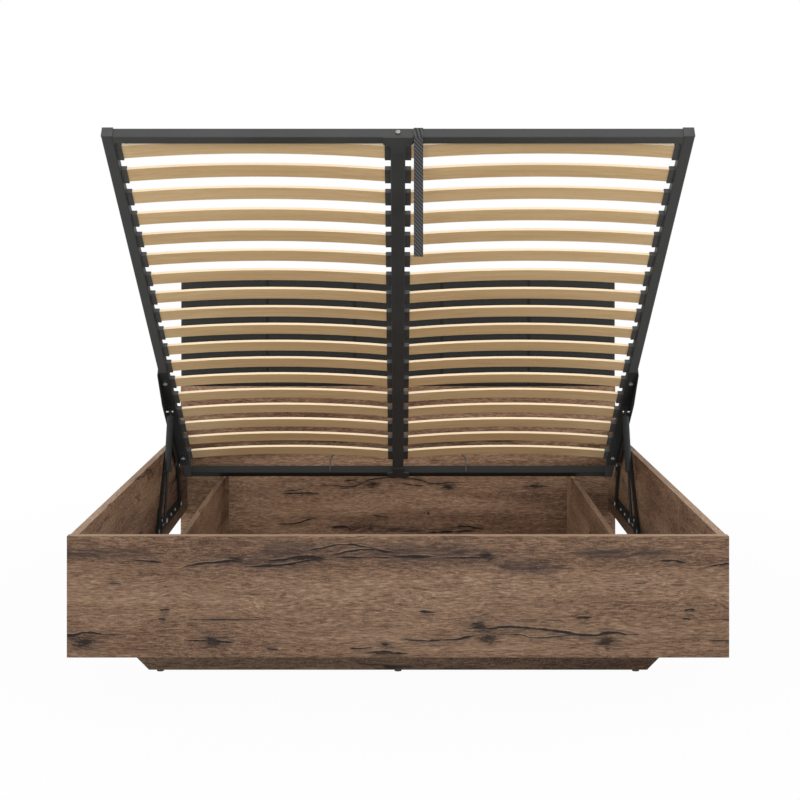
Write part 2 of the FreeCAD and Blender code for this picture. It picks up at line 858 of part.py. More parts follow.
def left_front_link():
    link = stadium(front_base_pivot, front_lid_pivot, link_half_width, -link_outer, -link_inner)
    for pivot in (front_base_pivot, front_lid_pivot):
        bore = rod_x(pin_radius + pin_clearance, -link_outer - cut_overrun, -link_inner + cut_overrun, pivot)
        link = link.cut(bore)
    return link


def left_rear_link():
    link = stadium(rear_base_pivot, rear_lid_pivot, link_half_width, -link_outer, -link_inner)
    bore_radius = pin_radius + pin_clearance
    bore = rod_x(bore_radius, -link_outer - cut_overrun, -link_inner + cut_overrun, rear_base_pivot)
    return link.cut(bore)


def rear_link_rivets():
    head = rod_x(pin_head_radius, -link_outer - pin_head_height, -link_outer, rear_lid_pivot)
    return both_sides([head])


def gas_cylinder_along(radius, near, far):
    """A round bar on the gas spring's axis, from near to far measured down from its upper pivot."""
    run_y = (gas_base_pivot[0] - gas_lid_pivot[0]) / gas_open_length
    run_z = (gas_base_pivot[1] - gas_lid_pivot[1]) / gas_open_length
    start = Vector(-gas_middle, gas_lid_pivot[0] + near * run_y, gas_lid_pivot[1] + near * run_z)
    return Part.makeCylinder(radius, far - near, start, Vector(0, run_y, run_z))


def gas_eye(pivot):
    return rod_x(gas_eye_radius, -gas_middle - gas_eye_width / 2, -gas_middle + gas_eye_width / 2, pivot)


def gas_eye_bore(pivot, clearance):
    reach = gas_eye_width / 2 + cut_overrun
    return rod_x(gas_pin_radius + clearance, -gas_middle - reach, -gas_middle + reach, pivot)


def left_gas_cylinder():
    """Barrel of the gas spring with its upper eye; the rod slides in its lower gland."""
    gland_start = gas_barrel_far - gas_gland_length
    bore_radius = gas_barrel_radius - gas_barrel_wall
    barrel = gas_cylinder_along(gas_barrel_radius, gas_barrel_start, gas_barrel_far)
    neck = gas_cylinder_along(gas_neck_radius, 0, gas_barrel_start + gas_barrel_end / 2)
    body = joined([barrel, neck, gas_eye(gas_lid_pivot)])
    body = body.cut(gas_cylinder_along(bore_radius, gas_barrel_start + gas_barrel_end, gland_start))
    body = body.cut(gas_cylinder_along(gas_rod_radius + gas_rod_clearance, gland_start - cut_overrun,
                                       gas_barrel_far + cut_overrun))
    return body.cut(gas_eye_bore(gas_lid_pivot, seat_clearance))


def left_gas_rod():
    """Rod of the gas spring with its lower eye and the piston on its hidden end."""
    piston_radius = gas_barrel_radius - gas_barrel_wall - gas_piston_clearance
    piston_far = gas_barrel_far - gas_gland_length - gas_piston_margin
    piston_near = piston_far - gas_piston_length
    rod = gas_cylinder_along(gas_rod_radius, piston_near, gas_open_length)
    piston = gas_cylinder_along(piston_radius, piston_near, piston_far)
    body = joined([rod, piston, gas_eye(gas_base_pivot)])
    return body.cut(gas_eye_bore(gas_base_pivot, pin_clearance))


def gas_cylinder_pins():
    """Pins in the upper eyes, which end just short of the lift arms."""
    eye_inner = gas_middle - gas_eye_width / 2
    shank = rod_x(gas_pin_radius, -arm_inner + open_pivot_gap, -eye_inner, gas_lid_pivot)
    head = rod_x(gas_pin_head_radius, -eye_inner, -eye_inner + gas_pin_head_height, gas_lid_pivot)
    return both_sides([joined([shank, head])])


# Pieces made once, and pieces made on the left whose right-hand partner is the mirror image
SINGLE_PIECES = [
    footboard, headboard_panel, headboard_pad_board, headboard_pad, headboard_joiners, headboard_bolts,
    front_storage_floor, rear_storage_floor, toe_shelf, plinth_front_board,
    glide_feet, footboard_batten, batten_bumpers, corner_brackets, corner_bracket_screws,
    base_plate_bolts, base_pivot_pins, gas_base_pins, foot_crossbar, head_crossbar, centre_beam,
    foot_beam_bracket, head_beam_bracket, corner_caps, crossbar_bolt, centre_slat_holders, mattress_stop,
    strap_wrap, strap_tail, lift_arm_bolts, lid_pivot_pins, rear_link_rivets, gas_cylinder_pins,
]
PAIRED_PIECES = [
    left_side_rail, left_divider, left_base_plate, left_side_tube, left_slats,
    left_slat_holders, left_lift_arm, left_front_link, left_rear_link, left_gas_cylinder, left_gas_rod,
]


def save(name, shape):
    shape.exportStep("parts/" + name + ".step")


os.makedirs("parts", exist_ok=True)
for piece in SINGLE_PIECES:
    save(piece.__name__, piece())
for piece in PAIRED_PIECES:
    left_shape = piece()
    save(piece.__name__, left_shape)
    save(piece.__name__.replace("left", "right"), mirrored(left_shape))
print("front link turn", front_turn, "rear link turn", rear_turn, "gas spring turn", gas_turn)
print("gas spring length open", gas_open_length, "shut", gas_closed_length)
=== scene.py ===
"""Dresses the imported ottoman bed: board, slat, steel and fabric materials, the padded headboard,
the pull strap, the photograph's camera and a plain white studio."""
import math

import bmesh
import bpy
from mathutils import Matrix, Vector, noise


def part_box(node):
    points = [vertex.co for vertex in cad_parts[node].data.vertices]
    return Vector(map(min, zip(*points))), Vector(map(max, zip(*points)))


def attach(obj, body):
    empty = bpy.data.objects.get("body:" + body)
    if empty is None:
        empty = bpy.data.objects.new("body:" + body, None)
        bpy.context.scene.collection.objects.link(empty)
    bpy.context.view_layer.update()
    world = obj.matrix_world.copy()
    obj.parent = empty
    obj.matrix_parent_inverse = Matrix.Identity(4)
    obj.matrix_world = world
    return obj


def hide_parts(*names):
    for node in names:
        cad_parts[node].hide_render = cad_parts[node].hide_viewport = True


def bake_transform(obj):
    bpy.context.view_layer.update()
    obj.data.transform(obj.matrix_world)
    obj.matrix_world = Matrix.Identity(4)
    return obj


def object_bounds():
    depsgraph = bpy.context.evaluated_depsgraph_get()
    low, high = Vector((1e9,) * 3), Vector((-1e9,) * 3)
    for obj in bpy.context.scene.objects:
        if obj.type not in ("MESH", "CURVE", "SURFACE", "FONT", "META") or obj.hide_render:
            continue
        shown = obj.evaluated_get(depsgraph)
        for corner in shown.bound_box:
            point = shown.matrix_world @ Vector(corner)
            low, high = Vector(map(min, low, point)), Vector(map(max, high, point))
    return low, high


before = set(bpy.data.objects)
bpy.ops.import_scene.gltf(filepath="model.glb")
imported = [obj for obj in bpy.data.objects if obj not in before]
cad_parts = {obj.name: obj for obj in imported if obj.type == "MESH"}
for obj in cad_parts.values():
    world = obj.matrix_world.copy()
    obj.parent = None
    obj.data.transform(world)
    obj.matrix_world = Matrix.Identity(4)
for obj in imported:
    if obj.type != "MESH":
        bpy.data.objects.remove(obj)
cad_low, cad_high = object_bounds()

# Camera, in metres; the shifts are shares of the frame's width
CAMERA_DISTANCE = 3.880
CAMERA_HEIGHT = 1.1866
CAMERA_LENS_MM = 69.7
CAMERA_SENSOR_MM = 36.0
CAMERA_SHIFT_SHARES = (0.0025, -0.2175)

# Studio: soft boxes as name, place, size, aim and power in watts; lengths in metres
SOFT_BOXES = (
    ("front_light", (0.0, -12.0, 1.5), (6.0, 2.4), (0.0, 0.0, 0.5), 540.0),
    ("upper_light", (0.0, -7.0, 3.4), (5.0, 2.0), (0.0, 0.0, 0.3), 110.0),
    ("left_light", (-3.2, -0.5, 1.6), (2.4, 1.2), (0.0, -0.4, 0.4), 45.0),
    ("right_light", (3.2, -0.5, 1.6), (2.4, 1.2), (0.0, -0.4, 0.4), 45.0),
    ("top_light", (0.0, -0.6, 4.4), (5.0, 4.2), (0.0, -0.6, 0.0), 60.0),
)
WORLD_STRENGTH = 0.50

# Floor, in metres: its glow grows over the shadow's reach from the middle, and the part of it that
# the bed covers doesn't glow
FLOOR_HALF_SIZE = 14.0
FLOOR_SHADOW_REACH = (0.9, 2.6)
FLOOR_GLOW_SHARES = (0.97, 1.0)
FLOOR_COVERED_HALF_WIDTHS = (0.60, 0.64)
FLOOR_COVERED_HALF_LENGTHS = (0.70, 0.78)

# Padded headboard, with its lengths in metres
PAD_CHANNELS = 5
PAD_GRID_STEP = 0.008
PAD_VOXEL = 0.006
PAD_EDGE_ROUND = 0.009
PAD_EDGE_SHARE = 0.35
PAD_SEAM_HALF_WIDTH = 0.015
PAD_SEAM_DEPTH = 0.0065
PAD_CROWN = 0.0035
PAD_SEAM_HELD = 0.004
PAD_SEAM_PUCKER = 0.0010
PAD_PUCKER_PITCH = 0.045
PAD_GLUED_DEPTH = 0.004
PAD_START_SHRINK = 0.003
PAD_PRESSURE = 4.0
PAD_FRAMES = 20
PAD_MOST_MOVE = 0.005
PAD_FINER_LEVELS = 1

# Pull strap, with its lengths in metres, and the tilt of the lifted lid that it is wound on
STRAP_WALL = 0.002
STRAP_CORNER_ROUND = 0.005
STRAP_CORNER_STEPS = 6
STRAP_TAIL_STEP = 0.010
STRAP_BEND_LENGTH = 0.008
STRAP_BEND_STEPS = 4
STRAP_HEM_LENGTH = 0.035
STRAP_EDGE_ROUND = 0.0005
STRAP_EDGE_SEGMENTS = 2
LID_TILT = math.radians(36)

# Lengths in the finishes, in metres: the decor, then the upholstery with its seams
DECOR_REPEAT = 1.314
FOOTBOARD_ZONE_HEIGHTS = (0.105, 0.413)
GRAIN_SWAY = 0.11
CRACK_FRAY = 0.007
WEAVE_PITCH = 0.0016
WEAVE_WOBBLE = 0.0008
SEAM_SHADE_REACH = (0.003, 0.009)
STITCH_PITCH = 0.006
STITCH_REACH = (0.0004, 0.0008)

# Relief of the finishes as strength and depth, the depth in metres
OAK_RELIEF = (0.25, 0.0009)
BEECH_RELIEF = (0.12, 0.0004)
COAT_RELIEF = (0.18, 0.0004)
PLATE_RELIEF = (0.08, 0.0002)
PLASTIC_RELIEF = (0.15, 0.0003)
BACKING_RELIEF = (0.20, 0.0004)
WEAVE_RELIEF = (0.35, 0.0006)
TWILL_RELIEF = (0.60, 0.0010)

# Turns that bring a board's grain axis to X
TURN_TO_X = {"X": (0, 0, 0), "Y": (0, 0, -math.pi / 2)}

# Ranges of values that most of a noise fills, for a single noise and for a sum of two
NOISE_RANGE = (0.3, 0.7)
SUM_RANGE = (0.32, 0.68)


def display(red, green, blue):
    """A colour written in display values from 0 to 255, as the linear colour a shader takes."""
    def linear(value):
        share = value / 255
        return share / 12.92 if share <= 0.04045 else ((share + 0.055) / 1.055) ** 2.4
    return (linear(red), linear(green), linear(blue), 1.0)


def shaded(tones, share):
    """The same tones with that share of their light."""
    return tuple((stop, (*[part * share for part in colour[:3]], 1.0)) for stop, colour in tones)


WHITE = display(255, 255, 255)
STUDIO_GREY = display(150, 150, 150)

# Tones of the board decor, from its darkest fibres to its palest, and of its marks
OAK_TONES = (
    (0.38, display(73, 51, 39)),
    (0.46, display(107, 82, 64)),
    (0.53, display(130, 104, 83)),
    (0.61, display(160, 132, 108)),
)
# Lighter copies of the decor, painted light for the rails, the dividers, the headboard and the storage
# floor
INNER_PAINTED_LIGHT_TONES = shaded(OAK_TONES, 1.2)
HEADBOARD_PAINTED_LIGHT_TONES = shaded(OAK_TONES, 1.35)
# A darker copy of the decor, painted shade for the plinth under the footboard
PLINTH_PAINTED_SHADE_TONES = shaded(OAK_TONES, 0.55)
OAK_CRACK = display(14, 9, 8)
OAK_STAIN = display(55, 45, 42)
OAK_FLECK = display(166, 139, 116)
# The pale colour below serves both the pale lips by the cracks and the painted highlight on upward faces
OAK_LIP_AND_HIGHLIGHT = display(176, 149, 124)
OAK_ROUGHNESS = (0.66, 0.52)

# Patterns of the board decor as repeats per metre along the grain and across it
WANDER_REPEATS = (1.6, 4.0)
BROAD_REPEATS = (1.2, 13.0)
STREAK_REPEATS = (3.2, 125.0)
FIBRE_REPEATS = (38.0, 340.0)
SAW_REPEATS = (190.0, 330.0)
DASH_REPEATS = (10.0, 300.0)
HALO_REPEATS = (9.0, 210.0)
ZONE_REPEATS = (0.8, 6.0)

# How strongly each pattern of the decor shows, and over which range of its noise
BROAD_SHARE = 0.25
STREAK_SHARE = 0.17
FIBRE_SHARE = 0.58
ZONE_DEPTH = 0.085
ZONE_RANGE = (0.44, 0.66)
SAW_RANGE = (0.50, 0.66)
SAW_SHARE = 0.32
SAW_DISTORTION = 1.8
DASH_RANGE = (0.62, 0.74)
DASH_SHARE = 0.7
HALO_RANGE = (0.38, 0.60)
HALO_SHARES = (0.28, 1.0)
CORE_SHARE = 0.92
FIBRE_RELIEF_SHARE = 0.6
CORE_RELIEF_SHARE = -0.8

# Painted highlight on the boards' upward faces: how far a face points up, and how much paler it gets
TOP_HIGHLIGHT_RANGE = (0.5, 0.9)
TOP_HIGHLIGHT_SHARE = 0.45
INNER_TOP_HIGHLIGHT_SHARE = 0.25

# Measured marks: repeats per metre of their noises, and reaches as ratios to a line's half thickness
# or to a knot's half sizes
FRAY_REPEATS = (30.0, 90.0)
WEAR_REPEATS = (26.0, 26.0)
WEAR_RANGE = (0.34, 0.62)
WEAR_RATIOS = (0.85, 2.0)
SPLIT_REPEATS = (16.0, 260.0)
SPLIT_RATIO = 2.2
THINNEST_SHARE = 0.0001
TAPER_SHARE = 0.30
FAR_RATIO = 1000.0
CRACK_CORE_REACH = (0.40, 1.25)
CRACK_HALO_REACH = (0.0, 7.0)
CRACK_HALO_SHARE = 0.60
LIP_RATIO = 2.0
LIP_REACH = (0.0, 0.9)
LIP_SHARE = 0.30
STAIN_REACH = (0.0, 1.7)
STAIN_SHARE = 0.95
KNOT_REPEATS = (48.0, 210.0)
KNOT_RAGGED_RATIO = 3.6
KNOT_CORE_REACH = (2.1, 2.9)
KNOT_CORE_SHARE = 0.92
KNOT_HALO_REACH = (2.2, 4.2)
KNOT_HALO_SHARE = 0.75

# Marks spread over the other boards: cracks along a noise's middle contour within patches, and knots
# in some cells of a cell pattern
CONTOUR_REPEATS = (1.3, 11.0)
CONTOUR_LEVEL = 0.5
CONTOUR_CORE_REACH = (0.003, 0.018)
CONTOUR_HALO_REACH = (0.0, 0.070)
CONTOUR_HALO_SHARE = 0.6
PATCH_REPEATS = (2.2, 8.0)
PATCH_RANGE = (0.50, 0.62)
CELL_REPEATS = (1.5, 5.0)
CELL_CHOSEN_RANGE = (0.55, 0.60)
CELL_RAGGED_REPEATS = (40.0, 120.0)
CELL_RAGGED_SHARE = 0.08
CELL_CORE_REACH = (0.08, 0.15)
CELL_CORE_SHARE = 0.95
CELL_HALO_REACH = (0.10, 0.28)
CELL_HALO_SHARE = 0.8

# The decor repeats along its boards, and the marks below lie where the photograph shows them.
# A line is its half thickness and then its points as (along, up), all in metres.
FOOTBOARD_ZONE_SHARES = (
    (0.0, 0.35), (0.14, 0.40), (0.30, 0.05), (0.62, 0.0),
    (0.76, 0.75), (0.84, 1.0), (0.93, 0.85), (1.0, 0.55),
)
FOOTBOARD_CRACKS = (
    (0.0018, (-0.667, 0.349), (-0.629, 0.348), (-0.585, 0.342)),
    (0.0022, (-0.558, 0.326), (-0.498, 0.340), (-0.466, 0.343), (-0.428, 0.347), (-0.379, 0.346)),
    (0.0022, (-0.401, 0.341), (-0.379, 0.334), (-0.336, 0.335), (-0.292, 0.337), (-0.249, 0.344),
     (-0.181, 0.356)),
    (0.0026, (-0.336, 0.354), (-0.303, 0.349), (-0.260, 0.356), (-0.222, 0.359), (-0.186, 0.354)),
    (0.0018, (-0.249, 0.373), (-0.194, 0.379), (-0.140, 0.388), (-0.075, 0.382), (-0.031, 0.373)),
    (0.0022, (-0.186, 0.354), (-0.124, 0.371), (-0.075, 0.376), (-0.031, 0.372), (0.010, 0.364)),
    (0.0014, (-0.181, 0.356), (-0.124, 0.357), (-0.064, 0.357), (0.010, 0.352)),
    (0.0026, (-0.020, 0.360), (0.050, 0.358), (0.107, 0.361)),
    (0.0014, (0.090, 0.355), (0.170, 0.356), (0.243, 0.355)),
    (0.0026, (0.137, 0.167), (0.178, 0.172), (0.202, 0.186), (0.227, 0.178), (0.270, 0.182),
     (0.341, 0.178), (0.373, 0.175), (0.428, 0.167), (0.471, 0.161), (0.493, 0.161), (0.536, 0.168),
     (0.569, 0.164), (0.639, 0.161)),
    (0.0018, (-0.007, 0.151), (0.102, 0.148), (0.172, 0.156), (0.210, 0.164), (0.232, 0.168)),
    (0.0010, (0.221, 0.162), (0.297, 0.164), (0.346, 0.155), (0.395, 0.158), (0.466, 0.164)),
    (0.0020, (-0.124, 0.128), (-0.086, 0.129), (-0.053, 0.133)),
    (0.0028, (-0.086, 0.117), (-0.042, 0.119), (0.006, 0.116), (0.031, 0.117)),
    (0.0020, (-0.470, 0.147), (-0.440, 0.145), (-0.408, 0.143)),
    (0.0014, (-0.540, 0.149), (-0.470, 0.147)),
    (0.0010, (-0.727, 0.292), (-0.689, 0.291)),
    (0.0020, (-0.600, 0.225), (-0.568, 0.226)),
    (0.0016, (-0.604, 0.203), (-0.580, 0.201)),
    (0.0024, (0.050, 0.221), (0.098, 0.220)),
    (0.0012, (0.230, 0.293), (0.262, 0.292)),
    (0.0026, (0.440, 0.206), (0.490, 0.205)),
    (0.0012, (-0.330, 0.127), (-0.298, 0.126)),
    (0.0007, (-0.553, 0.202), (-0.430, 0.201), (-0.303, 0.202)),
)
FOOTBOARD_STAINS = (
    (0.014, (-0.914, 0.366), (-0.700, 0.367), (-0.570, 0.364)),
    (0.022, (-0.360, 0.376), (-0.260, 0.372), (-0.180, 0.378)),
    (0.020, (-0.430, 0.346), (-0.300, 0.346), (-0.160, 0.358)),
    (0.030, (-0.120, 0.366), (0.080, 0.366), (0.280, 0.362)),
    (0.020, (0.230, 0.340), (0.330, 0.332), (0.430, 0.330)),
    (0.016, (0.170, 0.178), (0.260, 0.174), (0.330, 0.176)),
)
# Knots as place along, height, half length and half height in metres
FOOTBOARD_KNOTS = (
    (-0.404, 0.352, 0.030, 0.009),
    (-0.232, 0.355, 0.050, 0.011),
    (0.221, 0.360, 0.026, 0.011),
    (0.202, 0.183, 0.026, 0.015),
    (0.227, 0.154, 0.024, 0.012),
    (0.523, 0.145, 0.030, 0.016),
    (-0.461, 0.147, 0.028, 0.013),
    (-0.031, 0.139, 0.016, 0.007),
)
HEADBOARD_CRACKS = (
    (0.0024, (-0.462, 0.164), (-0.397, 0.166), (-0.353, 0.167), (-0.325, 0.165), (-0.290, 0.161)),
    (0.0015, (-0.446, 0.175), (-0.397, 0.177), (-0.375, 0.181), (-0.345, 0.185)),
    (0.0018, (-0.347, 0.196), (-0.249, 0.196), (-0.195, 0.191), (-0.156, 0.198), (-0.124, 0.211),
     (-0.080, 0.222), (0.004, 0.226), (0.085, 0.216), (0.160, 0.203), (0.187, 0.208), (0.235, 0.208),
     (0.321, 0.213)),
    (0.0016, (-0.211, 0.214), (-0.180, 0.215), (-0.146, 0.220)),
    (0.0024, (-0.473, 0.053), (-0.440, 0.048), (-0.397, 0.050), (-0.364, 0.059), (-0.298, 0.078)),
    (0.0028, (-0.266, 0.031), (-0.211, 0.040), (-0.178, 0.028), (-0.151, 0.023)),
    (0.0016, (-0.100, 0.084), (-0.069, 0.078), (-0.030, 0.072)),
    (0.0018, (0.004, 0.208), (0.050, 0.199), (0.106, 0.194)),
    (0.0016, (0.465, 0.193), (0.527, 0.191), (0.588, 0.193)),
    (0.0028, (0.090, 0.016), (0.192, 0.019), (0.310, 0.025)),
    (0.0022, (0.205, 0.037), (0.262, 0.040), (0.304, 0.033), (0.337, 0.036)),
    (0.0020, (0.110, 0.091), (0.122, 0.089)),
    (0.0055, (-0.620, 0.372), (-0.480, 0.378), (-0.340, 0.376), (-0.190, 0.368), (-0.100, 0.372),
     (0.020, 0.362)),
    (0.0050, (0.060, 0.368), (0.200, 0.376), (0.360, 0.372), (0.560, 0.380)),
)
# Broad dark bands across the headboard; the lower one makes it darker towards the bottom
HEADBOARD_DARK_BANDS = (
    (0.030, (-0.660, 0.372), (-0.300, 0.376), (0.060, 0.368), (0.300, 0.374), (0.600, 0.378)),
    (0.022, (-0.300, 0.034), (-0.180, 0.034), (0.100, 0.020), (0.360, 0.030)),
)
HEADBOARD_KNOTS = (
    (-0.097, 0.198, 0.022, 0.010),
    (0.192, 0.190, 0.024, 0.013),
    (0.527, 0.193, 0.028, 0.010),
    (-0.180, 0.374, 0.050, 0.011),
    (-0.118, 0.437, 0.040, 0.010),
)

# Slats: tones, repeats per metre along and across, their shares, and the paler long edges, partly cut
# veneer and partly painted highlight
BEECH_TONES = (
    (0.36, display(206, 171, 122)),
    (0.48, display(220, 187, 138)),
    (0.62, display(233, 203, 156)),
)
BEECH_ROUGHNESS = (0.50, 0.62)
SLAT_ROW_REPEATS = (0.6, 9.0)
SLAT_ROW_SHARE = 0.40
SLAT_STREAK_REPEATS = (2.5, 170.0)
SLAT_STREAK_SHARE = 0.42
SLAT_PORE_REPEATS = (45.0, 1100.0)
SLAT_PORE_SHARE = 0.18
SLAT_EDGE_AND_HIGHLIGHT = display(246, 236, 216)
SLAT_EDGE_HIGHLIGHT_RANGE = (0.66, 0.76)
SLAT_EDGE_HIGHLIGHT_SHARE = 0.40

# Steel, plastic and fibreboard: darker and paler tone of each, and repeats per metre
CHARCOAL = (display(55, 56, 55), display(67, 68, 67))
# A darker copy of the charcoal coat, painted shade for the head crossbar
SHADED_CHARCOAL = (display(33, 33, 32), display(41, 41, 40))
BLACK = (display(25, 26, 26), display(35, 36, 36))
SLATE = (display(33, 35, 36), display(43, 45, 46))
WIRE_GREY = (display(52, 54, 57), display(70, 72, 75))
ZINC = (display(150, 152, 152), display(186, 187, 186))
BOLT_STEEL = (display(112, 113, 113), display(150, 151, 150))
PLASTIC_BLACK = (display(52, 53, 52), display(66, 67, 66))
RUBBER_BLACK = (display(30, 30, 30), display(42, 42, 42))
FIBREBOARD = (display(96, 74, 56), display(140, 112, 86))
DUST_REPEATS = (6.0, 6.0)
DUST_SHARE = 0.7
PEEL_SHARE = 0.3
MOTTLE_REPEATS = (160.0, 160.0)
SCRATCH_REPEATS = (60.0, 1500.0)
MOULD_REPEATS = (1400.0, 1400.0)
MOULD_CLOUD_REPEATS = (25.0, 25.0)
BACKING_FIBRE_REPEATS = (240.0, 420.0)
BACKING_FIBRE_SHARE = 0.6
BACKING_CLOUD_REPEATS = (5.0, 5.0)
BACKING_CLOUD_SHARE = 0.4

# Upholstery and webbing: tones, repeats per metre, and the twill's slant in radians per metre
FABRIC_TONES = ((0.15, display(27, 28, 28)), (0.75, display(45, 46, 45)))
UNEVEN_REPEATS = (60.0, 60.0)
SLUB_REPEATS = (260.0, 45.0)
SLUB_SHARE = 0.5
WEAVE_SHARE = 0.5
# Painted shade that darkens the fabric where it dips in at the seams
SEAM_SHADE = display(12, 12, 12)
SEAM_SHADE_SHARE = 0.75
STITCH_THREAD = display(50, 51, 50)
STITCH_BEAT_RANGE = (-0.2, 0.1)
WEBBING_TONES = ((0.25, display(6, 6, 7)), (0.80, display(76, 76, 77)))
TWILL_ACROSS = 320.0
TWILL_ALONG = 300.0
TWILL_SHARE = 0.72
THREAD_REPEATS = (1800.0, 500.0)
THREAD_SHARE = 0.28


class Nodes:
    """A node tree under construction."""

    def __init__(self, tree):
        self.tree = tree

    def put(self, socket, value):
        """Sets a socket to a value, or links it to another node's output."""
        if isinstance(value, bpy.types.NodeSocket):
            self.tree.links.new(value, socket)
        else:
            socket.default_value = value

    def add(self, kind, inputs, **settings):
        """A new node with the given settings and inputs."""
        made = self.tree.nodes.new(kind)
        for key, value in settings.items():
            setattr(made, key, value)
        for key, value in inputs.items():
            self.put(made.inputs[key], value)
        return made

    def math(self, operation, first, second=0.0, third=0.0):
        inputs = {0: first, 1: second, 2: third}
        return self.add("ShaderNodeMath", inputs, operation=operation).outputs[0]

    def background_ray(self):
        """One for rays that show the background: from the camera, in gloss or through clear parts."""
        path = self.add("ShaderNodeLightPath", {}).outputs
        seen = self.math("MAXIMUM", path["Is Camera Ray"], path["Is Glossy Ray"])
        return self.math("MAXIMUM", seen, path["Is Transmission Ray"])


class Surface(Nodes):
    """A node material under construction. Its methods add nodes and return their outputs."""

    def __init__(self, name):
        self.material = bpy.data.materials.new(name)
        self.material.use_nodes = True
        super().__init__(self.material.node_tree)
        self.shader = self.tree.nodes["Principled BSDF"]

    def place(self, grain="X"):
        """Object coordinates in metres, turned so that the grain runs along X."""
        source = self.add("ShaderNodeTexCoord", {}).outputs["Object"]
        inputs = {"Vector": source, "Rotation": TURN_TO_X[grain]}
        return self.add("ShaderNodeMapping", inputs).outputs["Vector"]

    def facing(self):
        """The three parts of the direction that the surface faces in its own object."""
        return self.parts(self.add("ShaderNodeTexCoord", {}).outputs["Normal"])

    def parts(self, vector):
        return self.add("ShaderNodeSeparateXYZ", {"Vector": vector}).outputs

    def joined(self, x, y, z):
        return self.add("ShaderNodeCombineXYZ", {"X": x, "Y": y, "Z": z}).outputs[0]

    def shifted(self, vector, other):
        return self.add("ShaderNodeVectorMath", {0: vector, 1: other}, operation="ADD").outputs[0]

    def stretched(self, vector, repeats):
        along, across = repeats
        sizes = {0: vector, 1: (along, across, across)}
        return self.add("ShaderNodeVectorMath", sizes, operation="MULTIPLY").outputs[0]

    def noise(self, vector, repeats, detail=3.0, roughness=0.55, distortion=0.0):
        """Noise with so many repeats per metre along the grain and across it."""
        inputs = {"Vector": self.stretched(vector, repeats), "Scale": 1.0, "Detail": detail,
                  "Roughness": roughness, "Distortion": distortion}
        return self.add("ShaderNodeTexNoise", inputs).outputs[0]

    def swing(self, pattern, reach):
        """A noise as a move of up to half the reach to either side."""
        return self.math("MULTIPLY_ADD", pattern, reach, -reach / 2)

    def weighted(self, *patterns):
        """The sum of patterns that are given with their shares."""
        total = 0.0
        for pattern, share in patterns:
            total = self.math("MULTIPLY_ADD", pattern, share, total)
        return total

    def span(self, value, low, high, to_low, to_high):
        """Value from low..high brought smoothly to to_low..to_high."""
        inputs = {"Value": value, "From Min": low, "From Max": high, "To Min": to_low, "To Max": to_high}
        return self.add("ShaderNodeMapRange", inputs, interpolation_type="SMOOTHSTEP").outputs[0]

    def rise(self, value, reach, share=1.0):
        """Grows smoothly from 0 to the share over the reach."""
        return self.span(value, *reach, 0.0, share)

    def fade(self, value, reach, share=1.0):
        """Falls smoothly from the share to 0 over the reach."""
        return self.span(value, *reach, share, 0.0)

    def share_along(self, value, low, high):
        """Value from low..high as an even share from 0 to 1."""
        inputs = {"Value": value, "From Min": low, "From Max": high}
        return self.add("ShaderNodeMapRange", inputs).outputs[0]

    def curve(self, share, points):
        """A smooth curve through points whose coordinates are shares from 0 to 1."""
        made = self.add("ShaderNodeFloatCurve", {"Value": share})
        line = made.mapping.curves[0]
        line.points[0].location = points[0]
        line.points[1].location = points[-1]
        for along, up in points[1:-1]:
            line.points.new(along, up)
        made.mapping.update()
        return made.outputs[0]

    def ramp(self, value, stops):
        """Colours at their stops along the value."""
        made = self.add("ShaderNodeValToRGB", {"Fac": value})
        elements = made.color_ramp.elements
        while len(elements) < len(stops):
            elements.new(1.0)
        for element, (position, colour) in zip(elements, stops):
            element.position = position
            element.color = colour
        return made.outputs["Color"]

    def mixed(self, share, first, second):
        """The first colour with that share of the second. The node takes two colours at 6 and 7."""
        inputs = {0: share, 6: first, 7: second}
        return self.add("ShaderNodeMix", inputs, data_type="RGBA").outputs[2]

    def bump(self, height, relief):
        strength, depth = relief
        inputs = {"Height": height, "Strength": strength, "Distance": depth}
        return self.add("ShaderNodeBump", inputs).outputs["Normal"]

    def finish(self, **inputs):
        for key, value in inputs.items():
            self.put(self.shader.inputs[key.replace("_", " ")], value)
        return self.material


def on_footboard(mark_start, mark_end):
    """Whether any of a mark between two places along the footboard lies on it."""
    low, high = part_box("footboard")
    return mark_start < high.x and mark_end > low.x


def lines_with_repeats(lines):
    """The lines of the footboard and their repeats that still lie on it."""
    found = list(lines)
    for half, *points in lines:
        for shift in (-DECOR_REPEAT, DECOR_REPEAT):
            moved = [(along + shift, up) for along, up in points]
            if on_footboard(moved[0][0], moved[-1][0]):
                found.append((half, *moved))
    return found


def knots_with_repeats(knots):
    """The knots of the footboard and their repeats that still lie on it."""
    found = list(knots)
    for along, up, half_length, half_height in knots:
        for shift in (-DECOR_REPEAT, DECOR_REPEAT):
            if on_footboard(along + shift, along + shift):
                found.append((along + shift, up, half_length, half_height))
    return found


def line_ratio(surface, along, up, line):
    """Height above a line as a ratio to its half thickness, which shrinks to the line's ends."""
    half, *points = line
    start = points[0][0]
    length = points[-1][0] - start
    low = min(point[1] for point in points)
    rise = max(point[1] for point in points) - low + half
    share = surface.share_along(along, start, start + length)
    shape = [((x - start) / length, (z - low) / rise) for x, z in points]
    middle = surface.math("MULTIPLY_ADD", surface.curve(share, shape), rise, low)
    to_end = surface.math("PINGPONG", share, 0.5)
    thickness = surface.span(to_end, 0.0, TAPER_SHARE, THINNEST_SHARE * half, half)
    return surface.math("DIVIDE", surface.math("SUBTRACT", up, middle), thickness)


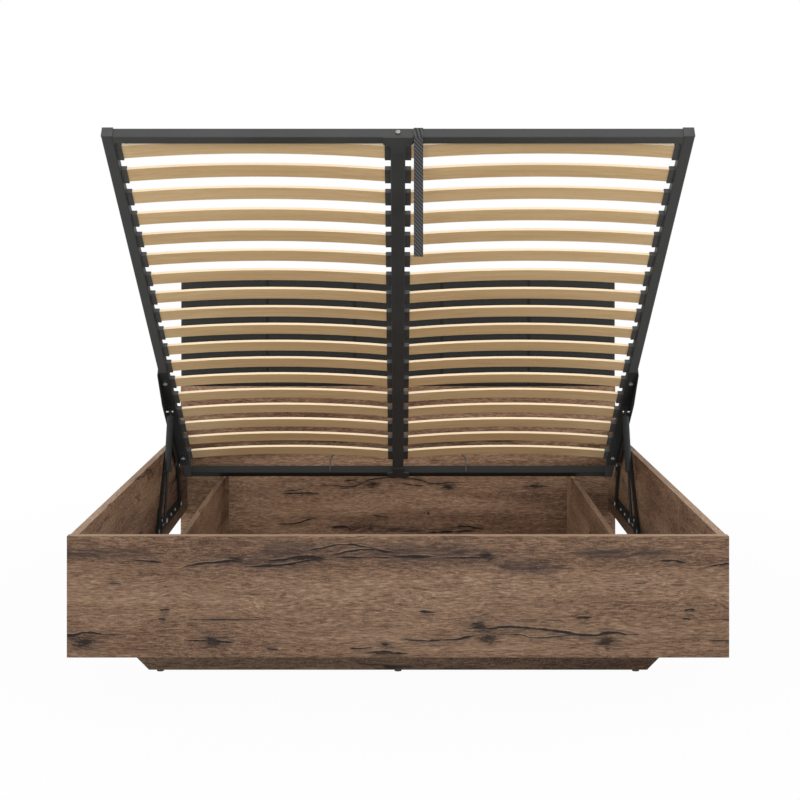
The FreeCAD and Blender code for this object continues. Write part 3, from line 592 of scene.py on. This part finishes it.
def nearest_line(surface, along, up, lines, raised):
    """The smallest ratio to any of the lines when each of them is raised by so many half thicknesses."""
    nearest = FAR_RATIO
    for line in lines:
        away = surface.math("SUBTRACT", line_ratio(surface, along, up, line), raised)
        nearest = surface.math("MINIMUM", surface.math("ABSOLUTE", away), nearest)
    return nearest


def nearest_knot(surface, along, up, knots):
    """The smallest ratio of the distance from a knot's middle to its half sizes."""
    nearest = FAR_RATIO
    for middle, height, half_length, half_height in knots:
        across = surface.math("MULTIPLY_ADD", along, 1 / half_length, -middle / half_length)
        upward = surface.math("MULTIPLY_ADD", up, 1 / half_height, -height / half_height)
        away = surface.math("MULTIPLY_ADD", across, across, surface.math("MULTIPLY", upward, upward))
        nearest = surface.math("MINIMUM", away, nearest)
    return surface.math("SQRT", nearest)


def measured_marks(surface, place, grain, cracks, stains, knots):
    """Strengths of dark cores, soft halos and pale lips of the marks at their measured places."""
    along, _, up = surface.parts(place)
    fray = surface.noise(place, FRAY_REPEATS, detail=4.0, roughness=0.65)
    frayed = surface.math("ADD", up, surface.swing(fray, CRACK_FRAY))
    wear = surface.span(surface.noise(place, WEAR_REPEATS), *WEAR_RANGE, *WEAR_RATIOS)
    split = surface.noise(grain, SPLIT_REPEATS, detail=4.0, roughness=0.7)
    crack = surface.math("DIVIDE", nearest_line(surface, along, frayed, cracks, 0.0), wear)
    crack = surface.math("ADD", crack, surface.swing(split, SPLIT_RATIO))
    lip = surface.fade(nearest_line(surface, along, frayed, cracks, LIP_RATIO), LIP_REACH, LIP_SHARE)
    stain = surface.fade(nearest_line(surface, along, up, stains, 0.0), STAIN_REACH, STAIN_SHARE)
    ragged = surface.noise(place, KNOT_REPEATS, detail=5.0, roughness=0.75)
    knot = nearest_knot(surface, along, up, knots)
    knot = surface.math("MULTIPLY_ADD", ragged, KNOT_RAGGED_RATIO, knot)
    crack_halo = surface.fade(crack, CRACK_HALO_REACH, CRACK_HALO_SHARE)
    knot_core = surface.fade(knot, KNOT_CORE_REACH, KNOT_CORE_SHARE)
    knot_halo = surface.fade(knot, KNOT_HALO_REACH, KNOT_HALO_SHARE)
    core = surface.math("MAXIMUM", surface.fade(crack, CRACK_CORE_REACH), knot_core)
    halo = surface.math("MAXIMUM", crack_halo, knot_halo)
    return core, surface.math("MAXIMUM", halo, stain), lip


def spread_zones(surface, grain):
    """Darker zones spread over a board."""
    return surface.rise(surface.noise(grain, ZONE_REPEATS), ZONE_RANGE)


def footboard_marks(surface, place, grain):
    """The footboard's marks and its darker zones up its height."""
    strengths = measured_marks(surface, place, grain, lines_with_repeats(FOOTBOARD_CRACKS),
                               lines_with_repeats(FOOTBOARD_STAINS), knots_with_repeats(FOOTBOARD_KNOTS))
    height_share = surface.share_along(surface.parts(place)[2], *FOOTBOARD_ZONE_HEIGHTS)
    return *strengths, surface.curve(height_share, FOOTBOARD_ZONE_SHARES)


def headboard_marks(surface, place, grain):
    """The headboard's marks and darker zones spread over it."""
    strengths = measured_marks(surface, place, grain, HEADBOARD_CRACKS, HEADBOARD_DARK_BANDS, HEADBOARD_KNOTS)
    return *strengths, spread_zones(surface, grain)


def contour_cracks(surface, grain):
    """Core and halo of cracks along the middle contour of a noise, within its patches."""
    contour = surface.noise(grain, CONTOUR_REPEATS, detail=4.0)
    away = surface.math("ABSOLUTE", surface.math("SUBTRACT", contour, CONTOUR_LEVEL))
    patch = surface.rise(surface.noise(grain, PATCH_REPEATS, detail=2.0), PATCH_RANGE)
    core = surface.fade(away, CONTOUR_CORE_REACH)
    halo = surface.fade(away, CONTOUR_HALO_REACH, CONTOUR_HALO_SHARE)
    return surface.math("MULTIPLY", core, patch), surface.math("MULTIPLY", halo, patch)


def cell_knots(surface, grain):
    """Core and halo of ragged knots in some of the cells of a pattern."""
    cells = {"Vector": surface.stretched(grain, CELL_REPEATS), "Scale": 1.0, "Randomness": 1.0}
    voronoi = surface.add("ShaderNodeTexVoronoi", cells)
    ragged = surface.noise(grain, CELL_RAGGED_REPEATS, roughness=0.7)
    away = surface.math("MULTIPLY_ADD", ragged, CELL_RAGGED_SHARE, voronoi.outputs["Distance"])
    chosen = surface.rise(surface.parts(voronoi.outputs["Color"])[0], CELL_CHOSEN_RANGE)
    core = surface.fade(away, CELL_CORE_REACH, CELL_CORE_SHARE)
    halo = surface.fade(away, CELL_HALO_REACH, CELL_HALO_SHARE)
    return surface.math("MULTIPLY", core, chosen), surface.math("MULTIPLY", halo, chosen)


def random_marks(surface, _, grain):
    """Marks, none with a lip, and darker zones, spread over the boards that are seen less closely."""
    crack, crack_halo = contour_cracks(surface, grain)
    knot, knot_halo = cell_knots(surface, grain)
    core = surface.math("MAXIMUM", crack, knot)
    halo = surface.math("MAXIMUM", crack_halo, knot_halo)
    return core, halo, 0.0, spread_zones(surface, grain)


def oak(name, grain_axis, offset, marks, tones, top_highlight_share=0.0):
    """Rustic oak decor: brown fibres, pale saw marks, cracks, stains, knots and paler upward faces, a
    painted highlight.
    """
    surface = Surface(name)
    place = surface.place(grain_axis)
    moved = surface.shifted(place, offset)
    sway = surface.swing(surface.noise(moved, WANDER_REPEATS), GRAIN_SWAY)
    grain = surface.shifted(moved, surface.joined(0, sway, sway))
    core, halo, lip, zone = marks(surface, place, grain)

    broad = surface.noise(grain, BROAD_REPEATS, detail=4.0, roughness=0.6)
    streaks = surface.noise(grain, STREAK_REPEATS, detail=4.0, roughness=0.65)
    fibres = surface.noise(grain, FIBRE_REPEATS, detail=4.0, roughness=0.7)
    tone = surface.weighted((streaks, STREAK_SHARE), (broad, BROAD_SHARE), (fibres, FIBRE_SHARE),
                            (zone, -ZONE_DEPTH))
    colour = surface.ramp(tone, tones)
    saw = surface.noise(grain, SAW_REPEATS, distortion=SAW_DISTORTION)
    colour = surface.mixed(surface.rise(saw, SAW_RANGE, SAW_SHARE), colour, OAK_FLECK)
    # Painted highlight: faces that point up turn paler
    if top_highlight_share:
        _, _, facing_up = surface.facing()
        colour = surface.mixed(surface.rise(facing_up, TOP_HIGHLIGHT_RANGE, top_highlight_share), colour, OAK_LIP_AND_HIGHLIGHT)

    broken = surface.noise(grain, HALO_REPEATS, detail=4.0, roughness=0.7)
    halo = surface.math("MULTIPLY", halo, surface.span(broken, *HALO_RANGE, *HALO_SHARES))
    dashes = surface.rise(surface.noise(grain, DASH_REPEATS, detail=2.0), DASH_RANGE, DASH_SHARE)
    core = surface.math("MAXIMUM", core, dashes)
    colour = surface.mixed(halo, colour, OAK_STAIN)
    colour = surface.mixed(lip, colour, OAK_LIP_AND_HIGHLIGHT)
    colour = surface.mixed(surface.math("MULTIPLY", core, CORE_SHARE), colour, OAK_CRACK)
    relief = surface.weighted((core, CORE_RELIEF_SHARE), (fibres, FIBRE_RELIEF_SHARE))
    return surface.finish(Base_Color=colour, Roughness=surface.span(tone, *NOISE_RANGE, *OAK_ROUGHNESS),
                          Specular_IOR_Level=0.15, Normal=surface.bump(relief, OAK_RELIEF))


def beech(name):
    """Pale laminated slat wood with fine pores, its own tone on each slat and paler long edges, partly cut
    veneer and partly a painted highlight.
    """
    surface = Surface(name)
    place = surface.place()
    row = surface.noise(place, SLAT_ROW_REPEATS, detail=1.0)
    streaks = surface.noise(place, SLAT_STREAK_REPEATS, detail=4.0, roughness=0.6)
    pores = surface.noise(place, SLAT_PORE_REPEATS, detail=2.0)
    tone = surface.weighted((streaks, SLAT_STREAK_SHARE), (row, SLAT_ROW_SHARE), (pores, SLAT_PORE_SHARE))
    colour = surface.ramp(tone, BEECH_TONES)
    _, lengthwise, _ = surface.facing()
    # The long edges turn paler: partly the cut veneer, partly a painted highlight
    cut_edge_and_highlight = surface.rise(surface.math("ABSOLUTE", lengthwise), SLAT_EDGE_HIGHLIGHT_RANGE, SLAT_EDGE_HIGHLIGHT_SHARE)
    colour = surface.mixed(cut_edge_and_highlight, colour, SLAT_EDGE_AND_HIGHLIGHT)
    return surface.finish(Base_Color=colour, Roughness=surface.span(pores, *NOISE_RANGE, *BEECH_ROUGHNESS),
                          Specular_IOR_Level=0.4, Normal=surface.bump(pores, BEECH_RELIEF))


def coated_steel(name, tones, roughness, grit, gloss):
    """Powder-coated steel: a fine orange-peel skin with faint dust in its tone."""
    surface = Surface(name)
    place = surface.place()
    dust = surface.noise(place, DUST_REPEATS, detail=5.0)
    peel = surface.noise(place, (grit, grit), detail=2.0)
    tone = surface.weighted((dust, DUST_SHARE), (peel, PEEL_SHARE))
    colour = surface.ramp(tone, tuple(zip(SUM_RANGE, tones)))
    return surface.finish(Base_Color=colour, Roughness=surface.span(dust, *NOISE_RANGE, *roughness),
                          Specular_IOR_Level=gloss, Normal=surface.bump(peel, COAT_RELIEF))


def plated_steel(name, tones, roughness):
    """Bare or zinc-plated metal with fine scratches and a mottled skin."""
    surface = Surface(name)
    place = surface.place()
    mottle = surface.noise(place, MOTTLE_REPEATS, detail=4.0)
    scratch = surface.noise(place, SCRATCH_REPEATS, detail=2.0)
    colour = surface.ramp(mottle, tuple(zip(NOISE_RANGE, tones)))
    return surface.finish(Base_Color=colour, Metallic=1.0,
                          Roughness=surface.span(scratch, *NOISE_RANGE, *roughness),
                          Normal=surface.bump(scratch, PLATE_RELIEF))


def moulded_plastic(name, tones, roughness):
    """Spark-eroded plastic with a matt grain."""
    surface = Surface(name)
    place = surface.place()
    grain = surface.noise(place, MOULD_REPEATS, detail=2.0)
    cloud = surface.noise(place, MOULD_CLOUD_REPEATS)
    colour = surface.ramp(cloud, tuple(zip(NOISE_RANGE, tones)))
    return surface.finish(Base_Color=colour, Roughness=surface.span(grain, *NOISE_RANGE, *roughness),
                          Specular_IOR_Level=0.4, Normal=surface.bump(grain, PLASTIC_RELIEF))


def backing_board(name):
    """Plain brown fibreboard behind the upholstery."""
    surface = Surface(name)
    place = surface.place()
    fibres = surface.noise(place, BACKING_FIBRE_REPEATS, detail=5.0, roughness=0.7)
    cloud = surface.noise(place, BACKING_CLOUD_REPEATS)
    tone = surface.weighted((fibres, BACKING_FIBRE_SHARE), (cloud, BACKING_CLOUD_SHARE))
    colour = surface.ramp(tone, tuple(zip(SUM_RANGE, FIBREBOARD)))
    return surface.finish(Base_Color=colour, Roughness=0.78, Normal=surface.bump(fibres, BACKING_RELIEF))


def woven(surface, place, pitch):
    """Height of a plain weave of threads that lie the given distance apart, in metres."""
    scale = math.pi / pitch
    x, _, z = surface.parts(place)
    over = surface.math("SINE", surface.math("MULTIPLY", x, scale))
    under = surface.math("SINE", surface.math("MULTIPLY", z, scale))
    return surface.math("ABSOLUTE", surface.math("MULTIPLY", over, under))


def channel_width():
    """Width of one upright channel of the padded headboard."""
    low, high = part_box("headboard_pad")
    return (high.x - low.x) / PAD_CHANNELS


def sewn_seams(surface, place):
    """Strengths of the painted shade at the seams and of the stitches in it."""
    x, _, z = surface.parts(place)
    half_channel = channel_width() / 2
    to_seam = surface.math("PINGPONG", surface.math("ADD", x, half_channel), half_channel)
    seam_shade = surface.fade(to_seam, SEAM_SHADE_REACH, SEAM_SHADE_SHARE)
    beat = surface.math("SINE", surface.math("MULTIPLY", z, 2 * math.pi / STITCH_PITCH))
    dash = surface.rise(beat, STITCH_BEAT_RANGE)
    return seam_shade, surface.math("MULTIPLY", dash, surface.fade(to_seam, STITCH_REACH))


def upholstery(name):
    """Dark slate furnishing fabric: a fine weave, slubs, a soft sheen and stitched seams with painted
    shade along them.
    """
    surface = Surface(name)
    place = surface.place()
    wobble = surface.math("MULTIPLY", surface.noise(place, UNEVEN_REPEATS), WEAVE_WOBBLE)
    weave = woven(surface, surface.shifted(place, surface.joined(wobble, 0, wobble)), WEAVE_PITCH)
    slubs = surface.noise(place, SLUB_REPEATS)
    tone = surface.weighted((weave, WEAVE_SHARE), (slubs, SLUB_SHARE))
    seam_shade, stitch = sewn_seams(surface, place)
    # Painted shade darkens the seams
    colour = surface.mixed(seam_shade, surface.ramp(tone, FABRIC_TONES), SEAM_SHADE)
    colour = surface.mixed(stitch, colour, STITCH_THREAD)
    relief = surface.math("MAXIMUM", weave, stitch)
    return surface.finish(Base_Color=colour, Roughness=0.82, Specular_IOR_Level=0.25, Sheen_Weight=0.15,
                          Sheen_Roughness=0.5, Normal=surface.bump(relief, WEAVE_RELIEF))


def webbing(name):
    """Grey strap webbing with a diagonal twill and fine threads."""
    surface = Surface(name)
    place = surface.place()
    x, y, z = surface.parts(place)
    run = surface.math("SUBTRACT", z, y)
    slant = surface.math("MULTIPLY_ADD", x, TWILL_ACROSS, surface.math("MULTIPLY", run, TWILL_ALONG))
    twill = surface.math("ABSOLUTE", surface.math("SINE", slant))
    threads = surface.noise(place, THREAD_REPEATS, detail=2.0)
    tone = surface.weighted((threads, THREAD_SHARE), (twill, TWILL_SHARE))
    colour = surface.ramp(tone, WEBBING_TONES)
    return surface.finish(Base_Color=colour, Roughness=0.8, Specular_IOR_Level=0.3,
                          Normal=surface.bump(tone, TWILL_RELIEF))


# Boards as finish, grain axis, place in the decor, marks, tones and share of painted highlight on upward
# faces
BOARDS = (
    ("footboard", "X", (3.1, 0.0, 1.7), footboard_marks, OAK_TONES, TOP_HIGHLIGHT_SHARE),
    # The headboard, rails, dividers and storage floor take lighter copies of the decor as painted light
    ("headboard", "X", (11.3, 2.0, 4.4), headboard_marks, HEADBOARD_PAINTED_LIGHT_TONES),
    ("left_rail", "Y", (5.7, 3.0, 8.2), random_marks, INNER_PAINTED_LIGHT_TONES, INNER_TOP_HIGHLIGHT_SHARE),
    ("right_rail", "Y", (17.9, 6.0, 2.6), random_marks, INNER_PAINTED_LIGHT_TONES, INNER_TOP_HIGHLIGHT_SHARE),
    ("divider", "Y", (23.4, 1.0, 9.8), random_marks, INNER_PAINTED_LIGHT_TONES, INNER_TOP_HIGHLIGHT_SHARE),
    # The plinth's darker tones are painted shade
    ("plinth", "X", (31.2, 4.0, 5.5), random_marks, PLINTH_PAINTED_SHADE_TONES),
    ("floor", "X", (43.8, 5.0, 3.3), random_marks, HEADBOARD_PAINTED_LIGHT_TONES),
)


def make_materials():
    """Every finish by name. Coats have tones, roughness, repeats of their grit per metre and gloss."""
    made = {finish: oak("oak_" + finish, *rest) for finish, *rest in BOARDS}
    made.update({
        "backing": backing_board("fibreboard"),
        "beech": beech("beech_slats"),
        "charcoal": coated_steel("charcoal_powder_coat", CHARCOAL, (0.52, 0.64), 900.0, 0.25),
        # The head crossbar's coat is the charcoal coat darkened as painted shade
        "shaded_coat": coated_steel("painted_shade_powder_coat", SHADED_CHARCOAL, (0.55, 0.68), 900.0, 0.15),
        "black_coat": coated_steel("black_linkage_coat", BLACK, (0.48, 0.60), 700.0, 0.15),
        "barrel": coated_steel("gas_barrel_paint", SLATE, (0.45, 0.55), 500.0, 0.10),
        "rod": coated_steel("dark_rod_coat", BLACK, (0.35, 0.45), 500.0, 0.15),
        "zinc": plated_steel("zinc_plate", ZINC, (0.32, 0.46)),
        "bolt": plated_steel("bolt_steel", BOLT_STEEL, (0.34, 0.48)),
        "wire": coated_steel("wire_coat", WIRE_GREY, (0.35, 0.45), 900.0, 0.25),
        "plastic": moulded_plastic("black_plastic", PLASTIC_BLACK, (0.55, 0.7)),
        "rubber": moulded_plastic("soft_rubber", RUBBER_BLACK, (0.7, 0.85)),
        "upholstery": upholstery("slate_upholstery"),
        "webbing": webbing("grey_webbing"),
    })
    return made


# Finish of every CAD node that stays in view
FINISHES = {
    "footboard": ("footboard",),
    "headboard": ("headboard_panel",),
    "left_rail": ("left_side_rail",),
    "right_rail": ("right_side_rail",),
    "divider": ("left_divider", "right_divider"),
    "plinth": ("plinth_front_board", "toe_shelf", "footboard_batten"),
    "floor": ("front_storage_floor", "rear_storage_floor"),
    "backing": ("headboard_pad_board",),
    "beech": ("left_slats", "right_slats"),
    "charcoal": ("left_side_tube", "right_side_tube", "foot_crossbar", "centre_beam",
                 "foot_beam_bracket", "head_beam_bracket"),
    # The head crossbar takes the darker coat as painted shade
    "shaded_coat": ("head_crossbar",),
    "black_coat": ("left_base_plate", "right_base_plate", "left_lift_arm", "right_lift_arm",
                   "left_front_link", "right_front_link", "left_rear_link", "right_rear_link"),
    "barrel": ("left_gas_cylinder", "right_gas_cylinder"),
    "rod": ("left_gas_rod", "right_gas_rod"),
    "zinc": ("headboard_joiners", "headboard_bolts", "corner_brackets", "corner_bracket_screws",
             "base_plate_bolts", "base_pivot_pins", "gas_base_pins", "lift_arm_bolts", "lid_pivot_pins",
             "rear_link_rivets", "gas_cylinder_pins"),
    "bolt": ("crossbar_bolt",),
    "wire": ("mattress_stop",),
    "plastic": ("corner_caps", "left_slat_holders", "right_slat_holders", "centre_slat_holders",
                "glide_feet"),
    "rubber": ("batten_bumpers",),
}


def paint(obj, material):
    if not obj.material_slots:
        obj.data.materials.append(material)
    for slot in obj.material_slots:
        slot.material = material


def new_object(name, mesh):
    made = bpy.data.objects.new(name, mesh)
    bpy.context.scene.collection.objects.link(made)
    return made


def closed_mesh(name, mesh):
    """Mesh data of a closed shape with all its faces turned outward."""
    bmesh.ops.recalc_face_normals(mesh, faces=mesh.faces)
    made = bpy.data.meshes.new(name)
    mesh.to_mesh(made)
    mesh.free()
    return made


def steps_between(low, high, count):
    return [low + (high - low) * number / count for number in range(count + 1)]


def fullness(to_edge):
    """How full the pad is at a distance from its edge, from 0 at the edge to 1 inside its rounding."""
    inside = min(1.0, to_edge / PAD_EDGE_ROUND)
    return math.sqrt(max(0.0, 1.0 - (1.0 - inside) ** 2))


def add_grid(mesh, rows):
    """Adds the squares between rows of points."""
    for lower, upper in zip(rows, rows[1:]):
        for column in range(len(lower) - 1):
            mesh.faces.new((lower[column], lower[column + 1], upper[column + 1], upper[column]))


def rim(rows):
    """The four edges of a grid of points."""
    return rows[0], [row[-1] for row in rows], rows[-1], [row[0] for row in rows]


def pad_slab(low, high):
    """A closed slab with a flat back and a front whose edges are rounded."""
    xs = steps_between(low.x, high.x, round((high.x - low.x) / PAD_GRID_STEP))
    zs = steps_between(low.z, high.z, round((high.z - low.z) / PAD_GRID_STEP))
    depth = high.y - low.y - PAD_START_SHRINK
    mesh = bmesh.new()
    front = []
    back = []
    for z in zs:
        front_row = []
        back_row = []
        for x in xs:
            full = fullness(min(x - low.x, high.x - x, z - low.z, high.z - z))
            y = high.y - depth * (PAD_EDGE_SHARE + (1 - PAD_EDGE_SHARE) * full)
            front_row.append(mesh.verts.new((x, y, z)))
            back_row.append(mesh.verts.new((x, high.y, z)))
        front.append(front_row)
        back.append(back_row)
    add_grid(mesh, front)
    add_grid(mesh, back)
    for edges in zip(rim(front), rim(back)):
        add_grid(mesh, edges)
    return closed_mesh("headboard_upholstery", mesh)


def even_mesh(pad):
    """Gives the pad a mesh of even squares for the simulation."""
    remesh = pad.modifiers.new("even_mesh", "REMESH")
    remesh.mode = "VOXEL"
    remesh.voxel_size = PAD_VOXEL
    shaped = pad.evaluated_get(bpy.context.evaluated_depsgraph_get())
    even = bpy.data.meshes.new_from_object(shaped)
    pad.modifiers.remove(remesh)
    pad.data = even


def sew_channels(pad, seams, half_channel, front, back):
    """Crowns the channels and draws the front in along the seams, with small puckers beside them."""
    for point in pad.data.vertices:
        x, y, z = point.co
        seam = min(seams, key=lambda place: abs(x - place))
        if abs(x - seam) < PAD_VOXEL / 2:
            x = seam
        nearest = abs(x - seam)
        pucker = PAD_SEAM_PUCKER * noise.noise(Vector((x / PAD_PUCKER_PITCH, 0, z / PAD_PUCKER_PITCH)))
        dip = PAD_SEAM_DEPTH * max(0.0, 1.0 - nearest / PAD_SEAM_HALF_WIDTH) ** 2
        dip += PAD_CROWN * max(0.0, 1.0 - nearest / half_channel) ** 2
        dip += pucker * max(0.0, 1.0 - nearest / PAD_PUCKER_PITCH)
        depth_share = (back - y) / (back - front)
        point.co = (x, y + dip * depth_share, z)


def swell(pad, seams, back):
    """Blows the cover up between its seams and its glued back, and applies the result within a cap."""
    start = [point.co.copy() for point in pad.data.vertices]
    held = [point.index for point in pad.data.vertices
            if point.co.y > back - PAD_GLUED_DEPTH
            or min(abs(point.co.x - seam) for seam in seams) < PAD_SEAM_HELD]
    pad.vertex_groups.new(name="held").add(held, 1.0, "REPLACE")
    cloth = pad.modifiers.new("swell", "CLOTH")
    cloth.settings.vertex_group_mass = "held"
    cloth.settings.use_pressure = True
    cloth.settings.uniform_pressure_force = PAD_PRESSURE
    cloth.settings.effector_weights.gravity = 0
    cloth.point_cache.frame_start = 1
    cloth.point_cache.frame_end = PAD_FRAMES
    scene = bpy.context.scene
    for number in range(1, PAD_FRAMES + 1):
        scene.frame_set(number)
    shaped = pad.evaluated_get(bpy.context.evaluated_depsgraph_get())
    moved = [point.co.copy() for point in shaped.data.vertices]
    pad.modifiers.remove(cloth)
    for point, first, last in zip(pad.data.vertices, start, moved):
        step = last - first
        point.co = first + step * min(1.0, PAD_MOST_MOVE / max(step.length, PAD_MOST_MOVE))
    pad.vertex_groups.clear()
    scene.frame_set(1)


def padded_headboard(material):
    """The dark upholstered panel of five upright channels."""
    low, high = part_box("headboard_pad")
    width = channel_width()
    seams = [low.x + width * number for number in range(1, PAD_CHANNELS)]
    pad = new_object("headboard_upholstery", pad_slab(low, high))
    even_mesh(pad)
    sew_channels(pad, seams, width / 2, low.y, high.y)
    swell(pad, seams, high.y)
    for face in pad.data.polygons:
        face.use_smooth = True
    finer = pad.modifiers.new("finer", "SUBSURF")
    finer.levels = PAD_FINER_LEVELS
    finer.render_levels = PAD_FINER_LEVELS
    paint(pad, material)
    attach(pad, "bed_box")
    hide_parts("headboard_pad")


def band(mesh, inner, outer, left, right, closed):
    """Adds a strap of rectangular section between two lines of points in the Y-Z plane."""
    rings = []
    for near, far in zip(inner, outer):
        corners = ((left, *near), (right, *near), (right, *far), (left, *far))
        rings.append([mesh.verts.new(corner) for corner in corners])
    pairs = list(zip(rings, rings[1:]))
    if closed:
        pairs.append((rings[-1], rings[0]))
    else:
        mesh.faces.new(rings[0])
        mesh.faces.new(reversed(rings[-1]))
    for first, second in pairs:
        for side in range(4):
            after = (side + 1) % 4
            mesh.faces.new((first[side], first[after], second[after], second[side]))


def rounded_square(centre, half, radius):
    """Points round a square with rounded corners, turned with the lifted lid."""
    points = []
    for corner in range(4):
        middle = math.pi / 2 * corner + math.pi / 4
        reach = (half - radius) * math.sqrt(2)
        for step in range(STRAP_CORNER_STEPS + 1):
            angle = middle + math.pi / 2 * (step / STRAP_CORNER_STEPS - 0.5)
            y = reach * math.cos(middle) + radius * math.cos(angle)
            z = reach * math.sin(middle) + radius * math.sin(angle)
            turned_y = y * math.cos(LID_TILT) + z * math.sin(LID_TILT)
            turned_z = z * math.cos(LID_TILT) - y * math.sin(LID_TILT)
            points.append((centre[0] + turned_y, centre[1] + turned_z))
    return points


def add_wrap(mesh, low, high):
    """The turn of webbing round the foot crossbar."""
    centre = ((low.y + high.y) / 2, (low.z + high.z) / 2)
    half = (high.y - low.y) / 2 / (math.cos(LID_TILT) + math.sin(LID_TILT))
    outer = rounded_square(centre, half, STRAP_CORNER_ROUND)
    inner = rounded_square(centre, half - STRAP_WALL, STRAP_CORNER_ROUND - STRAP_WALL)
    band(mesh, inner, outer, low.x, high.x, closed=True)


def add_tail(mesh, low, high, bend_end):
    """The hanging tail with its short bend at the top and its thicker hem at the end."""
    heights = steps_between(high.z, bend_end, STRAP_BEND_STEPS)
    heights += steps_between(bend_end, low.z, round((bend_end - low.z) / STRAP_TAIL_STEP))[1:]
    near = []
    far = []
    for z in heights:
        hem = STRAP_WALL / 2 if z < low.z + STRAP_HEM_LENGTH else 0.0
        near.append((low.y, z))
        far.append((high.y + hem, z))
    band(mesh, near, far, low.x, high.x, closed=False)


def pull_strap(material):
    """Webbing wound round the foot crossbar, with its tail hanging and its end hemmed."""
    tail_low, tail_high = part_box("strap_tail")
    bend_end = tail_high.z - STRAP_BEND_LENGTH
    mesh = bmesh.new()
    add_wrap(mesh, *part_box("strap_wrap"))
    add_tail(mesh, tail_low, tail_high, bend_end)
    strap = new_object("pull_strap", closed_mesh("pull_strap", mesh))
    paint(strap, material)
    rounding = strap.modifiers.new("soft_edges", "BEVEL")
    rounding.width = STRAP_EDGE_ROUND
    rounding.segments = STRAP_EDGE_SEGMENTS
    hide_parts("strap_wrap", "strap_tail")
    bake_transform(strap)


def add_floor():
    """A white studio floor that glows for the camera and still takes the bed's shadow."""
    bpy.ops.mesh.primitive_plane_add(size=2 * FLOOR_HALF_SIZE, location=(0, 0, cad_low.z))
    floor = bpy.context.object
    floor.name = "studio_floor"
    surface = Surface("studio_white")
    surface.finish(Base_Color=STUDIO_GREY, Roughness=0.9)
    glow = surface.add("ShaderNodeEmission", {"Color": WHITE, "Strength": 1.0})
    place = surface.place()
    away = surface.add("ShaderNodeVectorMath", {0: place}, operation="LENGTH").outputs["Value"]
    glow_share = surface.span(away, *FLOOR_SHADOW_REACH, *FLOOR_GLOW_SHARES)
    x, y, _ = surface.parts(place)
    beside = surface.rise(surface.math("ABSOLUTE", x), FLOOR_COVERED_HALF_WIDTHS)
    beyond = surface.rise(surface.math("ABSOLUTE", y), FLOOR_COVERED_HALF_LENGTHS)
    open_share = surface.math("MULTIPLY", glow_share, surface.math("MAXIMUM", beside, beyond))
    share = surface.math("MULTIPLY", surface.background_ray(), open_share)
    shaders = {0: share, 1: surface.shader.outputs[0], 2: glow.outputs[0]}
    blend = surface.add("ShaderNodeMixShader", shaders)
    surface.put(surface.tree.nodes["Material Output"].inputs["Surface"], blend.outputs[0])
    paint(floor, surface.material)


def add_world():
    """White behind the bed, and an even soft light from all round."""
    world = bpy.data.worlds.new("studio_world")
    world.use_nodes = True
    bpy.context.scene.world = world
    nodes = Nodes(world.node_tree)
    background = nodes.tree.nodes["Background"]
    nodes.put(background.inputs["Color"], WHITE)
    levels = {"Value": nodes.background_ray(), "To Min": WORLD_STRENGTH, "To Max": 1.0}
    nodes.put(background.inputs["Strength"], nodes.add("ShaderNodeMapRange", levels).outputs[0])


def add_soft_box(name, place, size, aim, power):
    lamp = bpy.data.lights.new(name, "AREA")
    lamp.shape = "RECTANGLE"
    lamp.size, lamp.size_y = size
    lamp.energy = power
    made = bpy.data.objects.new(name, lamp)
    made.location = place
    made.rotation_euler = (Vector(aim) - Vector(place)).to_track_quat("-Z", "Y").to_euler()
    bpy.context.scene.collection.objects.link(made)


def add_camera():
    """The photograph's view: level, square on to the foot of the bed."""
    data = bpy.data.cameras.new("photo_camera")
    data.lens = CAMERA_LENS_MM
    data.sensor_width = CAMERA_SENSOR_MM
    data.shift_x, data.shift_y = CAMERA_SHIFT_SHARES
    camera = bpy.data.objects.new("photo_camera", data)
    foot_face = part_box("footboard")[0].y
    camera.location = (0, foot_face - CAMERA_DISTANCE, CAMERA_HEIGHT)
    camera.rotation_euler = (math.pi / 2, 0, 0)
    bpy.context.scene.collection.objects.link(camera)
    bpy.context.scene.camera = camera


materials = make_materials()
for finish, nodes in FINISHES.items():
    for name in nodes:
        paint(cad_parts[name], materials[finish])
padded_headboard(materials["upholstery"])
pull_strap(materials["webbing"])

add_floor()
add_world()
for soft_box in SOFT_BOXES:
    add_soft_box(*soft_box)
add_camera()
bpy.context.scene.view_settings.view_transform = "Standard"
